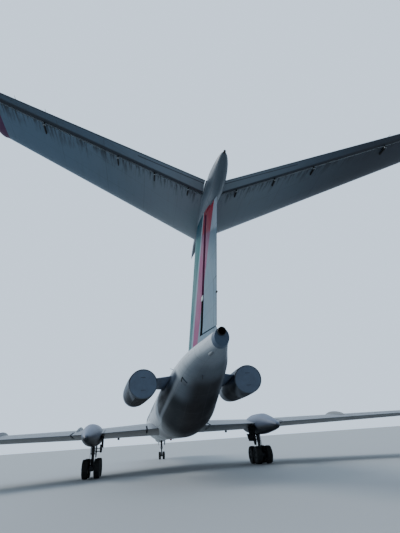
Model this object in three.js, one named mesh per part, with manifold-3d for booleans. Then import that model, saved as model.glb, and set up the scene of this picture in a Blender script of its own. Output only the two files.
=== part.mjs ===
// A narrow body airliner with two engines at the rear and a T tail, standing on its landing gear.
// Millimetres. +X is starboard, +Y points to the nose and +Z is up. The ground is z = 0 and the
// symmetry plane is x = 0. A place along the body is a station, measured aft from the nose's tip.
import * as THREE from 'three';
import { mergeVertices } from 'three/addons/utils/BufferGeometryUtils.js';
import Module from 'manifold-3d';

const wasm = await Module();
wasm.setup();

// Driving dimensions
const LENGTH = 37100;
const FUSELAGE_RADIUS = 1450;
const FUSELAGE_TOP = 4520;
const FUSELAGE_BELLY = FUSELAGE_TOP - 2 * FUSELAGE_RADIUS;
const FUSELAGE_SIDES = 24;
const FIT_GAP = 0.3;
const HALF_GAP = FIT_GAP / 2;

const WING_HALF_SPAN = 14500;
const WING_KINK = 4720;
const WING_LEADING_STATION = 12850;
const WING_SWEEP = 0.767;
const TAIL_HEIGHT = 8880;
const TAIL_HALF_SPAN = 5900;

const NACELLE_X = 2140;
const NACELLE_Z = 3620;
const NACELLE_TOE = (4.3 * Math.PI) / 180;
const NACELLE_PITCH = (1.4 * Math.PI) / 180;
const NACELLE_SIDES = 24;
const DUCT_RADIUS = 455.3;

const GEAR_X = WING_KINK;
const GEAR_STATION = 20140;
const BOGIE_HALF_BASE = 530;
const NOSE_GEAR_STATION = 4100;
const WHEEL_SIDES = 18;
const PIN_SIDES = 12;
const PIN_CLEARANCE = 0.5;

// A station's place along Y
const Y = (station) => LENGTH / 2 - station;

const mix = (a, b, share) => a + (b - a) * share;

// Keeps positions only, merges the shared corners and drops faces that the merging flattened.
function closed(geometry) {
  const plain = new THREE.BufferGeometry();
  plain.setAttribute('position', geometry.getAttribute('position'));
  plain.setIndex(geometry.getIndex());
  const merged = mergeVertices(plain, 1e-3);
  const corners = merged.getIndex().array;
  const kept = [];
  for (let i = 0; i < corners.length; i += 3) {
    const [a, b, c] = corners.slice(i, i + 3);
    if (a !== b && b !== c && c !== a) kept.push(a, b, c);
  }
  merged.setIndex(kept);
  return merged;
}

// Signed volume of a closed mesh, positive where its faces point out
function volume(geometry) {
  const p = geometry.getAttribute('position').array;
  const corners = geometry.getIndex().array;
  let sum = 0;
  for (let i = 0; i < corners.length; i += 3) {
    const [a, b, c] = [corners[i] * 3, corners[i + 1] * 3, corners[i + 2] * 3];
    sum += p[a] * (p[b + 1] * p[c + 2] - p[b + 2] * p[c + 1]);
    sum += p[a + 1] * (p[b + 2] * p[c] - p[b] * p[c + 2]);
    sum += p[a + 2] * (p[b] * p[c + 1] - p[b + 1] * p[c]);
  }
  return sum / 6;
}

function turnFaces(geometry) {
  const corners = Array.from(geometry.getIndex().array);
  for (let i = 0; i < corners.length; i += 3) {
    [corners[i + 1], corners[i + 2]] = [corners[i + 2], corners[i + 1]];
  }
  geometry.setIndex(corners);
  return geometry;
}

const outward = (geometry) => (volume(geometry) < 0 ? turnFaces(geometry) : geometry);

const mirrored = (geometry) => turnFaces(geometry.clone().scale(-1, 1, 1));

function toSolid(geometry) {
  const mesh = new wasm.Mesh({
    numProp: 3,
    vertProperties: new Float32Array(geometry.getAttribute('position').array),
    triVerts: new Uint32Array(geometry.getIndex().array),
  });
  return new wasm.Manifold(mesh);
}

function fromSolid(solid) {
  const mesh = solid.getMesh();
  const geometry = new THREE.BufferGeometry();
  geometry.setAttribute('position', new THREE.BufferAttribute(new Float32Array(mesh.vertProperties), 3));
  geometry.setIndex(Array.from(mesh.triVerts));
  return geometry;
}

const join = (...parts) => fromSolid(parts.map(toSolid).reduce((sum, next) => sum.add(next)));
const cut = (base, ...tools) => fromSolid(tools.map(toSolid).reduce((rest, tool) => rest.subtract(tool), toSolid(base)));
const common = (base, other) => fromSolid(toSolid(base).intersect(toSolid(other)));

// Skins a row of closed outlines with the same number of points and closes both ends with a fan.
// The faces of the port half mirror those of the starboard half.
function loft(outlines) {
  const count = outlines[0].length;
  const points = outlines.flat();
  const faces = [];
  for (let row = 0; row + 1 < outlines.length; row += 1) {
    for (let i = 0; i < count; i += 1) {
      const [a, b] = [row * count + i, row * count + ((i + 1) % count)];
      const side = points[a][0] + points[b][0] + points[a + count][0] + points[b + count][0];
      if (side < 0) faces.push(a, b, a + count, b, b + count, a + count);
      else faces.push(a, b, b + count, a, b + count, a + count);
    }
  }
  for (const row of [0, outlines.length - 1]) {
    const centre = points.length;
    const ring = outlines[row];
    points.push([0, 1, 2].map((axis) => ring.reduce((sum, point) => sum + point[axis], 0) / count));
    for (let i = 0; i < count; i += 1) {
      const [a, b] = [row * count + i, row * count + ((i + 1) % count)];
      if (row === 0) faces.push(centre, b, a);
      else faces.push(centre, a, b);
    }
  }
  const geometry = new THREE.BufferGeometry();
  geometry.setAttribute('position', new THREE.Float32BufferAttribute(points.flat(), 3));
  geometry.setIndex(faces);
  return outward(geometry);
}

function box(x0, x1, y0, y1, z0, z1) {
  const geometry = closed(new THREE.BoxGeometry(x1 - x0, y1 - y0, z1 - z0));
  return geometry.translate((x0 + x1) / 2, (y0 + y1) / 2, (z0 + z1) / 2);
}

// A round bar between two points; phase turns its corners about its axis
function bar(from, to, radius, sides = PIN_SIDES, phase = 0) {
  const start = new THREE.Vector3(...from);
  const end = new THREE.Vector3(...to);
  const run = end.clone().sub(start);
  const geometry = closed(new THREE.CylinderGeometry(radius, radius, run.length(), sides, 1, false, phase));
  const turn = new THREE.Quaternion().setFromUnitVectors(new THREE.Vector3(0, 1, 0), run.clone().normalize());
  const middle = start.add(end).multiplyScalar(0.5);
  return geometry.applyQuaternion(turn).translate(middle.x, middle.y, middle.z);
}

// A body turned about an axis along X or Y, from a profile of [place along the axis, radius]
function turned(profile, sides, axis) {
  const points = profile.map(([along, radius]) => new THREE.Vector2(radius, along));
  const geometry = closed(new THREE.LatheGeometry(points, sides));
  if (axis === 'x') geometry.rotateZ(-Math.PI / 2);
  return outward(geometry);
}

// A flat shape pushed along Z, from [x, y] corners
function planPrism(corners, z0, z1) {
  const shape = new THREE.Shape(corners.map(([x, y]) => new THREE.Vector2(x, y)));
  const geometry = new THREE.ExtrudeGeometry(shape, { depth: z1 - z0, bevelEnabled: false, curveSegments: 8 });
  return outward(closed(geometry).translate(0, 0, z0));
}

// A side view shape pushed along X, from [station, z] corners
function sidePrism(corners, x0, x1) {
  const shape = new THREE.Shape(corners.map(([station, z]) => new THREE.Vector2(-station, z)));
  const geometry = new THREE.ExtrudeGeometry(shape, { depth: x1 - x0, bevelEnabled: false, curveSegments: 8 });
  const solid = closed(geometry);
  // Shape x becomes Y, shape y becomes Z and the depth becomes X
  solid.applyMatrix4(new THREE.Matrix4().set(0, 0, 1, x0, 1, 0, 0, LENGTH / 2, 0, 1, 0, 0, 0, 0, 0, 1));
  return outward(solid);
}

// The fuselage: station, half width, top and belly of each outline
const FUSELAGE_ROWS = [
  [0, 90, 2610, 2430],
  [120, 330, 2860, 2210],
  [420, 600, 3120, 2010],
  [950, 860, 3360, 1850],
  [1600, 1080, 3570, 1740],
  [2050, 1180, 3720, 1700],
  [2650, 1290, 4100, 1660],
  [3150, 1355, 4330, 1640],
  [4000, 1425, 4475, 1625],
  [5000, FUSELAGE_RADIUS, FUSELAGE_TOP, FUSELAGE_BELLY],
  [22500, FUSELAGE_RADIUS, FUSELAGE_TOP, FUSELAGE_BELLY],
  [24500, 1385, FUSELAGE_TOP, 1810],
  [26500, 1200, FUSELAGE_TOP, 2310],
  [28100, 1090, FUSELAGE_TOP, 2890],
  [30000, 865, 4510, 3420],
  [31500, 550, 4470, 3720],
  [32600, 320, 4425, 3800],
  [33200, 215, 4385, 3850],
];
const NOSE_BREAK = 950;
const FRONT_BREAK = 5000;
const CENTRE_BREAK = 12400;
const REAR_BREAK = 22500;
const TAIL_END = 33200;

function fuselageRow(station) {
  const after = Math.max(1, FUSELAGE_ROWS.findIndex((row) => row[0] >= station));
  const [low, high] = [FUSELAGE_ROWS[after - 1], FUSELAGE_ROWS[after]];
  const share = (station - low[0]) / (high[0] - low[0]);
  return low.map((value, i) => mix(value, high[i], share));
}

function ellipse([station, halfWidth, top, bottom], grow = 0, x = 0, sides = FUSELAGE_SIDES) {
  return Array.from({ length: sides }, (_, i) => {
    const angle = (2 * Math.PI * (i + 0.5)) / sides;
    const height = (top - bottom) / 2 + grow;
    const z = (top + bottom) / 2 + height * Math.sin(angle);
    return [x + (halfWidth + grow) * Math.cos(angle), Y(station), z];
  });
}

function fuselageBetween(from, to, grow = 0) {
  const inner = FUSELAGE_ROWS.filter((row) => row[0] > from && row[0] < to);
  const rows = [fuselageRow(from), ...inner, fuselageRow(to)];
  return loft(rows.map((row) => ellipse(row, grow)));
}

// Half thickness of the aerofoil at a share of the chord, as a share of the full thickness
function aerofoil(share) {
  const x = Math.max(share, 0);
  const shape = 0.2969 * Math.sqrt(x) - 0.126 * x - 0.3516 * x ** 2 + 0.2843 * x ** 3 - 0.1015 * x ** 4;
  return 5 * shape;
}

const CHORD_SHARES = [0, 0.012, 0.05, 0.14, 0.3, 0.5, 0.7, 0.86, 1];
const TRAILING_THICKNESS = 10;

// A lifting surface's row: span, leading station, chord, height at the leading and trailing edge,
// thickness. Rows between two given ones are straight mixes of them.
function rowAt(rows, span) {
  const after = Math.max(1, rows.findIndex((row) => row[0] >= span));
  const [low, high] = [rows[after - 1], rows[after]];
  const share = (span - low[0]) / (high[0] - low[0]);
  return low.map((value, i) => mix(value, high[i], share));
}

// A point of a row's outline as [span, station, offset]; side is 1 above, -1 below and 0 in between
function outlinePoint([span, leading, chord, zLeading, zTrailing, thickness], share, side, grow = 0) {
  const half = aerofoil(share) * thickness + (share * TRAILING_THICKNESS) / 2;
  const slide = share === 0 ? -grow : share === 1 ? grow : 0;
  const offset = side * (half + (share === 0 ? 0 : grow));
  return [span, leading + share * chord + slide, mix(zLeading, zTrailing, share) + offset];
}

const lyingFlat = ([span, station, offset]) => [span, Y(station), offset];
const standing = ([span, station, offset]) => [offset, Y(station), span];

function profile(row, first = 0, last = 1, grow = 0) {
  const shares = [first, ...CHORD_SHARES.filter((share) => share > first && share < last), last];
  const upper = shares.map((share) => outlinePoint(row, share, 1, grow));
  const lower = shares.map((share) => outlinePoint(row, share, -1, grow)).reverse();
  if (first === 0) lower.pop();
  return [...upper, ...lower];
}

function liftingSurface(rows, place, first = 0, last = 1, grow = 0) {
  return loft(rows.map((row) => profile(row, first, last, grow).map(place)));
}

// A control surface's section: a round nose about the hinge, then straight to the trailing edge
const NOSE_STEPS = 6;
function roundNosed(row, hinge) {
  const [span, station, offset] = outlinePoint(row, hinge, 0);
  const radius = outlinePoint(row, hinge, 1)[2] - offset;
  const nose = Array.from({ length: NOSE_STEPS + 1 }, (_, i) => {
    const angle = (Math.PI * i) / NOSE_STEPS;
    return [span, station - radius * Math.sin(angle), offset - radius * Math.cos(angle)];
  });
  const middle = (hinge + 1) / 2;
  const upper = [middle, 1].map((share) => outlinePoint(row, share, 1));
  const lower = [1, middle].map((share) => outlinePoint(row, share, -1));
  return [...nose, ...upper, ...lower];
}

// Rows of a span, with the given rows that lie inside it
function rowsBetween(rows, from, to) {
  return [rowAt(rows, from), ...rows.filter((row) => row[0] > from && row[0] < to), rowAt(rows, to)];
}

// The wing
const KINK_LEADING = WING_LEADING_STATION + WING_SWEEP * WING_KINK;
const TIP_LEADING = WING_LEADING_STATION + WING_SWEEP * WING_HALF_SPAN;
const ROOT_CHORD = 7350;
const KINK_CHORD = 5050;
const TIP_CHORD = 2050;
const ROOT_ROW = [0, WING_LEADING_STATION, ROOT_CHORD, 2420, 2230, 860];
const KINK_ROW = [WING_KINK, KINK_LEADING, KINK_CHORD, 2210, 2095, 580];
const TIP_ROW = [WING_HALF_SPAN, TIP_LEADING, TIP_CHORD, 2070, 2040, 210];
const [SIDE_X, FILLET_X, TIP_START] = [1450, 2150, 14250];
const sideRow = rowAt([ROOT_ROW, KINK_ROW], SIDE_X);
const tipStartRow = rowAt([KINK_ROW, TIP_ROW], TIP_START);
const [FILLET_FORWARD, FILLET_CHORD] = [320, 420];
const WING_ROWS = [
  [HALF_GAP, ...ROOT_ROW.slice(1)],
  [SIDE_X, sideRow[1] - FILLET_FORWARD, sideRow[2] + FILLET_CHORD, ...sideRow.slice(3)],
  rowAt([ROOT_ROW, KINK_ROW], FILLET_X),
  KINK_ROW,
  tipStartRow,
  [WING_HALF_SPAN, TIP_LEADING + 260, TIP_CHORD - 420, 2058, 2048, 60],
];

// The tail surfaces
const FIN_ROWS = [
  [4220, 25300, 7160, 0, 0, 540],
  [4980, 26870, 5920, 0, 0, 480],
  [8780, 30740, 3715, 0, 0, 360],
];
const STABILISER_ROWS = [
  [150, 30437, 3661, TAIL_HEIGHT, TAIL_HEIGHT, 335],
  [5700, 35517, 1476, TAIL_HEIGHT + 40, TAIL_HEIGHT + 40, 133],
  [TAIL_HALF_SPAN, 35900, 1200, TAIL_HEIGHT + 40, TAIL_HEIGHT + 40, 50],
];

// Hinged surfaces of one side: span from and to, hinge's share of the chord and the pin's radius.
// A drop hinge is near the lower skin, so that the surface only moves down, as a flap does. The hinge
// lines are swept, so a flap's upper front edge moves inboard as it drops and needs a wider inner gap.
const END_GAP = 25;
const WING_CONTROLS = {
  flap_inner: { from: 1840, to: 4080, share: 0.74, pin: 20, drop: true, innerGap: 95 },
  flap_outer: { from: 5740, to: 9090, share: 0.74, pin: 20, drop: true, innerGap: 90 },
  aileron: { from: 9250, to: 13900, share: 0.76, pin: 12, drop: false, innerGap: END_GAP },
};
const ELEVATOR = { from: 395, to: 5560, share: 0.83, pin: 12, drop: false, innerGap: END_GAP };
const FLAP_FRONT_GAP = 30;
const NOSE_CLEARANCE = 14;
const DROP_HINGE_INSET = 40;
const BEYOND = 600;
const PIN_REACH = 70;
const PIN_SEAT = 45;

// The hinge line's two points, as [span, station, offset]
function hingeLine(rows, control) {
  return [control.from, control.to].map((span) => {
    const row = rowAt(rows, span);
    if (!control.drop) return outlinePoint(row, control.share, 0);
    const [, station, offset] = outlinePoint(row, control.share, -1);
    return [span, station + DROP_HINGE_INSET, offset + DROP_HINGE_INSET];
  });
}

// The notch that a control surface lies in, as a prism through the surface that carries it
function notch(rows, control, z0, z1) {
  const [inner, outer] = [control.from - control.innerGap, control.to + END_GAP];
  const corners = [inner, outer].map((span) => {
    const row = rowAt(rows, span);
    const [, station, offset] = outlinePoint(row, control.share, 0);
    const radius = outlinePoint(row, control.share, 1)[2] - offset;
    const front = control.drop ? station - FLAP_FRONT_GAP : station - radius - NOSE_CLEARANCE;
    return { front: [span, Y(front)], back: [span, Y(row[1] + row[2] + BEYOND)] };
  });
  return planPrism([corners[0].front, corners[1].front, corners[1].back, corners[0].back], z0, z1);
}

// The pins at both ends of a hinge line. With extra, they are the holes that the pins turn in, whose
// flats face the pins' corners.
function hingePins([start, end], place, radius, innerGap = END_GAP, extra = 0) {
  const [a, b] = [place(start), place(end)].map((point) => new THREE.Vector3(...point));
  const along = b.clone().sub(a).normalize();
  const wide = extra > 0 ? (radius + extra) / Math.cos(Math.PI / PIN_SIDES) : radius;
  const ends = [[a, -1, innerGap], [b, 1, END_GAP]];
  return ends.map(([end0, way, gap]) => {
    const reach = gap + PIN_SEAT + (extra > 0 ? 5 : 0);
    const inside = end0.clone().addScaledVector(along, -way * PIN_REACH);
    const outside = end0.clone().addScaledVector(along, way * reach);
    return bar(inside.toArray(), outside.toArray(), wide, PIN_SIDES, extra > 0 ? Math.PI / PIN_SIDES : 0);
  });
}

function controlSurface(rows, control, place) {
  const span = rowsBetween(rows, control.from, control.to);
  const body = control.drop
    ? liftingSurface(span, place, control.share, 1)
    : loft(span.map((row) => roundNosed(row, control.share).map(place)));
  return join(body, ...hingePins(hingeLine(rows, control), place, control.pin, control.innerGap));
}

// Upright plates across the wing's upper skin: span and the chord shares that they run between
const FENCES = [[5600, 0.03, 0.98], [9170, 0.03, 0.98]];
const [FENCE_HEIGHT, FENCE_THICKNESS] = [190, 24];
function fence([span, first, last]) {
  const row = rowAt(WING_ROWS, span);
  const shares = [first, 0.14, 0.3, 0.5, 0.7, last];
  const top = shares.map((share) => {
    const [, station, offset] = outlinePoint(row, share, 1);
    return [station, offset + FENCE_HEIGHT * (share === first ? 0.25 : 1)];
  });
  const bottom = [last, first].map((share) => outlinePoint(row, share, 0).slice(1));
  return sidePrism([...top, ...bottom], span - FENCE_THICKNESS / 2, span + FENCE_THICKNESS / 2);
}

// Round pads that the aeroplane is jacked at
const JACK_PAD = { radius: 70, wingX: 3500, wingStation: 17000, wingZ: 1780, noseStation: 8200, noseZ: 1590 };
const jackPad = (x, station, z, height) => bar([x, Y(station), z], [x, Y(station), z + height], JACK_PAD.radius);

function wingHalf() {
  let wing = liftingSurface(WING_ROWS, lyingFlat);
  const controls = Object.values(WING_CONTROLS);
  const notches = controls.map((control) => notch(WING_ROWS, control, 0, 4000));
  wing = join(cut(wing, ...notches), ...FENCES.map(fence));
  const holes = controls.flatMap((control) => (
    hingePins(hingeLine(WING_ROWS, control), lyingFlat, control.pin, control.innerGap, PIN_CLEARANCE)
  ));
  const pad = jackPad(JACK_PAD.wingX, JACK_PAD.wingStation, JACK_PAD.wingZ, 250);
  return join(cut(wing, ...holes), pad);
}

// The fairing at the top of the fin, from station and radius, about an axis along Y
const BULLET_Z = 8860;
const BULLET_SIDES = 16;
const BULLET_PROFILE = [
  [28800, 0], [28950, 25], [29500, 95], [30300, 215], [31300, 285], [32700, 320],
  [34000, 320], [34700, 285], [35200, 205], [35450, 125], [35570, 45], [35610, 0],
];
function bullet(grow = 0) {
  const rows = BULLET_PROFILE.map(([station, radius]) => [-station, radius === 0 ? 0 : radius + grow]);
  return turned(rows, BULLET_SIDES, 'y').translate(0, LENGTH / 2, BULLET_Z);
}

// The fin and its rudder; the rudder's bay has its corners as [station, z]
const RUDDER_SHARE = 0.71;
const RUDDER_BAY = [[30560, 4820], [33300, 4510], [34900, 8410], [32930, 8460]];
const RUDDER_OUTLINE = [[30500, 4899], [33300, 4580], [34900, 8350], [32700, 8405]];
const RUDDER_PIN = 24;
const RUDDER_GAP = 60;
const RUDDER_HINGE_SPANS = [4980, 8420];
const RUDDER_FOOT = 4780;

// The hinge line lies on the two spans and goes on down to the foot
function rudderHinge() {
  const [low, high] = RUDDER_HINGE_SPANS.map((span) => outlinePoint(rowAt(FIN_ROWS, span), RUDDER_SHARE, 0));
  const share = (RUDDER_FOOT - low[0]) / (high[0] - low[0]);
  return [low.map((value, i) => mix(value, high[i], share)), high];
}

function fin() {
  const whole = liftingSurface(FIN_ROWS, standing);
  const bay = sidePrism(RUDDER_BAY, -1000, 1000);
  const holes = hingePins(rudderHinge(), standing, RUDDER_PIN, RUDDER_GAP, PIN_CLEARANCE);
  const rear = fuselageBetween(REAR_BREAK - 100, TAIL_END, FIT_GAP);
  return cut(whole, bay, rear, bullet(FIT_GAP), ...holes);
}

function rudder() {
  const whole = loft(FIN_ROWS.map((row) => roundNosed(row, RUDDER_SHARE).map(standing)));
  const trimmed = common(whole, sidePrism(RUDDER_OUTLINE, -1000, 1000));
  return join(trimmed, ...hingePins(rudderHinge(), standing, RUDDER_PIN, RUDDER_GAP));
}

function stabiliserHalf() {
  const whole = liftingSurface(STABILISER_ROWS, lyingFlat);
  const line = hingeLine(STABILISER_ROWS, ELEVATOR);
  const holes = hingePins(line, lyingFlat, ELEVATOR.pin, END_GAP, PIN_CLEARANCE);
  return cut(whole, notch(STABILISER_ROWS, ELEVATOR, 8000, 9400), bullet(FIT_GAP), ...holes);
}

// The engine nacelle: station and radius of its outer and inner wall
const NACELLE_OUTER = [
  [22750, 495], [22800, 520], [23250, 566], [24200, 598], [25700, 606], [26900, 600], [27700, 582], [28100, 565],
];
const NACELLE_INNER = [[28100, 530], [27650, DUCT_RADIUS], [23150, DUCT_RADIUS], [22850, 470]];
const NOZZLE_STATION = 28100;
const alongNacelle = (rows) => rows.map(([station, radius]) => [-station, radius]);
// NACELLE_X and NACELLE_Z are the nozzle's middle. From there the nacelle points outwards and up.
const placeNacelle = (geometry) => geometry
  .translate(0, NOZZLE_STATION, 0)
  .rotateX(NACELLE_PITCH)
  .rotateZ(-NACELLE_TOE)
  .translate(NACELLE_X, Y(NOZZLE_STATION), NACELLE_Z);

function nacelle() {
  const ring = [...NACELLE_OUTER, ...NACELLE_INNER, NACELLE_OUTER[0]];
  return placeNacelle(turned(alongNacelle(ring), NACELLE_SIDES, 'y'));
}

function nacelleEnvelope(grow) {
  const outer = NACELLE_OUTER.map(([station, radius]) => [station, radius + grow]);
  return placeNacelle(turned(alongNacelle([[22750, 0], ...outer, [28100, 0]]), NACELLE_SIDES, 'y'));
}

// The engine is one plain block that fills the duct, with the shaft that carries the fan in front.
const ENGINE = { front: 23760, back: 27600, shaft: 50, shaftFront: 23440 };
function engineBlock() {
  const wall = DUCT_RADIUS - FIT_GAP;
  const rows = [
    [ENGINE.shaftFront, 0], [ENGINE.shaftFront, ENGINE.shaft], [ENGINE.front, ENGINE.shaft],
    [ENGINE.front, wall], [ENGINE.back, wall], [ENGINE.back, 0],
  ];
  return placeNacelle(turned(alongNacelle(rows), NACELLE_SIDES, 'y'));
}

const FAN = { tip: 446, hub: 165, front: 23360, back: 23620, nose: 23060, blades: 14, bore: 51.2 };
function fan() {
  const { hub, front, back, nose, bore } = FAN;
  const boreEnd = ENGINE.shaftFront - 8;
  const rows = [
    [nose, 0], [nose + 40, 55], [nose + 150, 115], [front, hub], [back, hub], [back, bore], [boreEnd, bore], [boreEnd, 0],
  ];
  const centre = turned(alongNacelle(rows), NACELLE_SIDES, 'y');
  const blades = Array.from({ length: FAN.blades }, (_, i) => {
    const blade = box(-8, 8, -110, 110, hub - 20, FAN.tip);
    blade.rotateZ(0.6).translate(0, -(front + back) / 2, 0);
    return blade.rotateY((2 * Math.PI * i) / FAN.blades);
  });
  return placeNacelle(join(centre, ...blades));
}

// The blank plate over the nozzle
const COVER = { radius: 560, thickness: 28 };
function exhaustCover() {
  const front = NOZZLE_STATION + FIT_GAP;
  const back = front + COVER.thickness;
  const rows = [[front, 0], [front, COVER.radius], [back, COVER.radius - 10], [back, 0]];
  return placeNacelle(turned(alongNacelle(rows), NACELLE_SIDES, 'y'));
}

const PYLON_ROWS = [
  [700, 23700, 5200, 3960, 3790, 330],
  [2150, 24300, 2980, 3950, 3870, 270],
];
function pylon() {
  const whole = liftingSurface(PYLON_ROWS, lyingFlat);
  return cut(whole, fuselageBetween(REAR_BREAK, TAIL_END, FIT_GAP), nacelleEnvelope(FIT_GAP));
}

// The pods that the main gear folds into: station, half width, half height and centre height
const POD_ROWS = [
  [17150, 40, 30, 2010], [17700, 250, 230, 2020], [18700, 440, 430, 2050], [20000, 515, 565, 2070],
  [21300, 490, 550, 2060], [22400, 385, 415, 2005], [23300, 235, 250, 1935], [23750, 120, 130, 1895], [23860, 40, 40, 1885],
];
const POD_SIDES = 16;
const BAY = { halfWidth: 280, front: 19700, back: 20600, roof: 1780 };

function podBody(grow = 0) {
  return loft(POD_ROWS.map(([station, halfWidth, halfHeight, z]) => (
    ellipse([station, halfWidth, z + halfHeight, z - halfHeight], grow, GEAR_X, POD_SIDES)
  )));
}

function gearPod() {
  const bay = box(GEAR_X - BAY.halfWidth, GEAR_X + BAY.halfWidth, Y(BAY.back), Y(BAY.front), 1200, BAY.roof);
  const wing = liftingSurface(WING_ROWS, lyingFlat, 0, 1, FIT_GAP);
  return cut(podBody(), wing, bay);
}

// A pair of wheels on its axle, as one turned body about X: tyre radius and width, the distance
// from the middle to each tyre's centre, the rim's radius and the axle's radius
const MAIN_WHEEL = { radius: 465, width: 305, centre: 300, rim: 245, axle: 60 };
const NOSE_WHEEL = { radius: 330, width: 200, centre: 185, rim: 170, axle: 42 };

function wheelPair({ radius, width, centre, rim, axle }) {
  const half = width / 2;
  const tread = radius * 0.985;
  // Distance from the tyre's centre towards the outside, and radius
  const right = [
    [-half * 0.7, axle], [-half * 0.86, rim], [-half, mix(rim, radius, 0.5)],
    [-half * 0.78, tread], [-half * 0.3, radius], [half * 0.3, radius], [half * 0.78, tread],
    [half, mix(rim, radius, 0.5)], [half * 0.86, rim], [half * 0.45, rim * 0.84], [half * 0.4, rim * 0.45],
    [half * 0.75, rim * 0.38], [half * 0.75, 0],
  ];
  const outer = right.map(([along, r]) => [centre + along, r]);
  const inner = outer.map(([along, r]) => [-along, r]).reverse();
  return turned([...inner, ...outer], WHEEL_SIDES, 'x');
}

// The bogie beam: two eyes on a waist, pushed across; the eyes hold the axles
const BEAM = { halfWidth: 95, eye: 125, waist: 80, seat: 560 };
const eyeRadius = (axle) => (axle + PIN_CLEARANCE) / Math.cos(Math.PI / WHEEL_SIDES);

function crossBar(x, station, z, radius, halfLength, phase = 0) {
  return bar([x - halfLength, Y(station), z], [x + halfLength, Y(station), z], radius, WHEEL_SIDES, phase);
}

const eyeHole = (x, station, z, axle, halfLength) => (
  crossBar(x, station, z, eyeRadius(axle), halfLength, Math.PI / WHEEL_SIDES)
);

function bogieBeam() {
  const axleZ = MAIN_WHEEL.radius;
  const stations = [GEAR_STATION - BOGIE_HALF_BASE, GEAR_STATION + BOGIE_HALF_BASE];
  const [left, right] = [GEAR_X - BEAM.halfWidth, GEAR_X + BEAM.halfWidth];
  const waist = box(left, right, Y(stations[1]), Y(stations[0]), axleZ - BEAM.waist, axleZ + BEAM.waist);
  const seat = box(left, right, Y(GEAR_STATION + 130), Y(GEAR_STATION - 130), axleZ, BEAM.seat);
  const eyes = stations.map((station) => crossBar(GEAR_X, station, axleZ, BEAM.eye, BEAM.halfWidth));
  const holes = stations.map((station) => (
    eyeHole(GEAR_X, station, axleZ, MAIN_WHEEL.axle, BEAM.halfWidth + 10)
  ));
  return cut(join(waist, seat, ...eyes), ...holes);
}

// The main leg: foot on the beam, oleo, torque links behind and a brace that runs forward
const LEG = { oleo: 78, cylinder: 112, cylinderFoot: 1120, braceStation: 19760 };
function mainLeg() {
  const centre = Y(GEAR_STATION);
  const at = (x, station, z) => [GEAR_X + x, Y(station), z];
  const roof = BAY.roof - FIT_GAP;
  const foot = box(GEAR_X - 110, GEAR_X + 110, centre - 140, centre + 140, BEAM.seat + FIT_GAP, BEAM.seat + 130);
  const oleo = bar(at(0, GEAR_STATION, BEAM.seat + 60), at(0, GEAR_STATION, 1240), LEG.oleo);
  const cylinder = bar(at(0, GEAR_STATION, LEG.cylinderFoot), at(0, GEAR_STATION, roof), LEG.cylinder);
  const trunnion = bar(at(-250, GEAR_STATION, roof - 80), at(250, GEAR_STATION, roof - 80), 60);
  const brace = bar(at(0, GEAR_STATION, 1280), at(0, LEG.braceStation, roof - 60), 42, 10);
  const linkElbow = at(0, GEAR_STATION + 330, 900);
  const links = [650, 1160].map((z) => (
    bar(at(0, GEAR_STATION + 60, z), linkElbow, 32, 10)
  ));
  const post = box(GEAR_X - 60, GEAR_X + 60, Y(LEG.braceStation + 70), Y(LEG.braceStation - 40), roof - 120, roof);
  return join(foot, oleo, cylinder, trunnion, brace, ...links, post);
}

// The leg's door: a plate on the inboard side, held off the leg by two arms
const LEG_DOOR = { x: 400, thickness: 26, front: 19150, back: 20700, low: 1190, high: 1680 };
function legDoor() {
  const x = GEAR_X - LEG_DOOR.x;
  const { thickness, front, back, low, high } = LEG_DOOR;
  const corners = [[front, high], [back, high], [back - 120, low], [front + 420, low]];
  const plate = cut(sidePrism(corners, x - thickness, x), podBody(FIT_GAP));
  const arms = [1260, 1420].map((z) => (
    box(x - 5, GEAR_X - LEG.cylinder - FIT_GAP, Y(GEAR_STATION) - 25, Y(GEAR_STATION) + 25, z - 25, z + 25)
  ));
  return join(plate, ...arms);
}

// The nose gear: a fixed leg in its bay and, below it, the steered piston with the axle's eye
const NOSE_BAY = { halfWidth: 270, front: 3450, back: 4700, roof: 1970 };
const NOSE_LEG = { radius: 85, foot: 980, piston: 58, eye: 88, eyeHalf: 62 };
function noseLeg() {
  const at = (x, station, z) => [x, Y(station), z];
  const roof = NOSE_BAY.roof - FIT_GAP;
  const cylinder = bar(at(0, NOSE_GEAR_STATION, NOSE_LEG.foot), at(0, NOSE_GEAR_STATION, roof), NOSE_LEG.radius);
  const trunnion = bar(at(-240, NOSE_GEAR_STATION, 1780), at(240, NOSE_GEAR_STATION, 1780), 48, 12);
  const brace = bar(at(0, NOSE_GEAR_STATION, 1260), at(0, NOSE_BAY.front + 90, roof - 70), 36, 10);
  const post = box(-50, 50, Y(NOSE_BAY.front + 150), Y(NOSE_BAY.front + 40), roof - 110, roof);
  const collar = bar(at(0, NOSE_GEAR_STATION, NOSE_LEG.foot), at(0, NOSE_GEAR_STATION, NOSE_LEG.foot + 90), 115);
  return join(cylinder, trunnion, brace, post, collar);
}

const TOW = { halfWidth: 45, reach: 190, low: 400, high: 470 };
function noseSteering() {
  const z = NOSE_WHEEL.radius;
  const at = (x, station, height) => [x, Y(station), height];
  const piston = bar(at(0, NOSE_GEAR_STATION, z), at(0, NOSE_GEAR_STATION, NOSE_LEG.foot - FIT_GAP), NOSE_LEG.piston);
  const head = bar(at(0, NOSE_GEAR_STATION, NOSE_LEG.foot - 100), at(0, NOSE_GEAR_STATION, NOSE_LEG.foot - FIT_GAP), 105);
  const eye = crossBar(0, NOSE_GEAR_STATION, z, NOSE_LEG.eye, NOSE_LEG.eyeHalf);
  const hole = eyeHole(0, NOSE_GEAR_STATION, z, NOSE_WHEEL.axle, NOSE_LEG.eyeHalf + 10);
  const tow = box(-TOW.halfWidth, TOW.halfWidth, Y(NOSE_GEAR_STATION), Y(NOSE_GEAR_STATION - TOW.reach), TOW.low, TOW.high);
  return cut(join(piston, head, eye, tow), hole);
}

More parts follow.
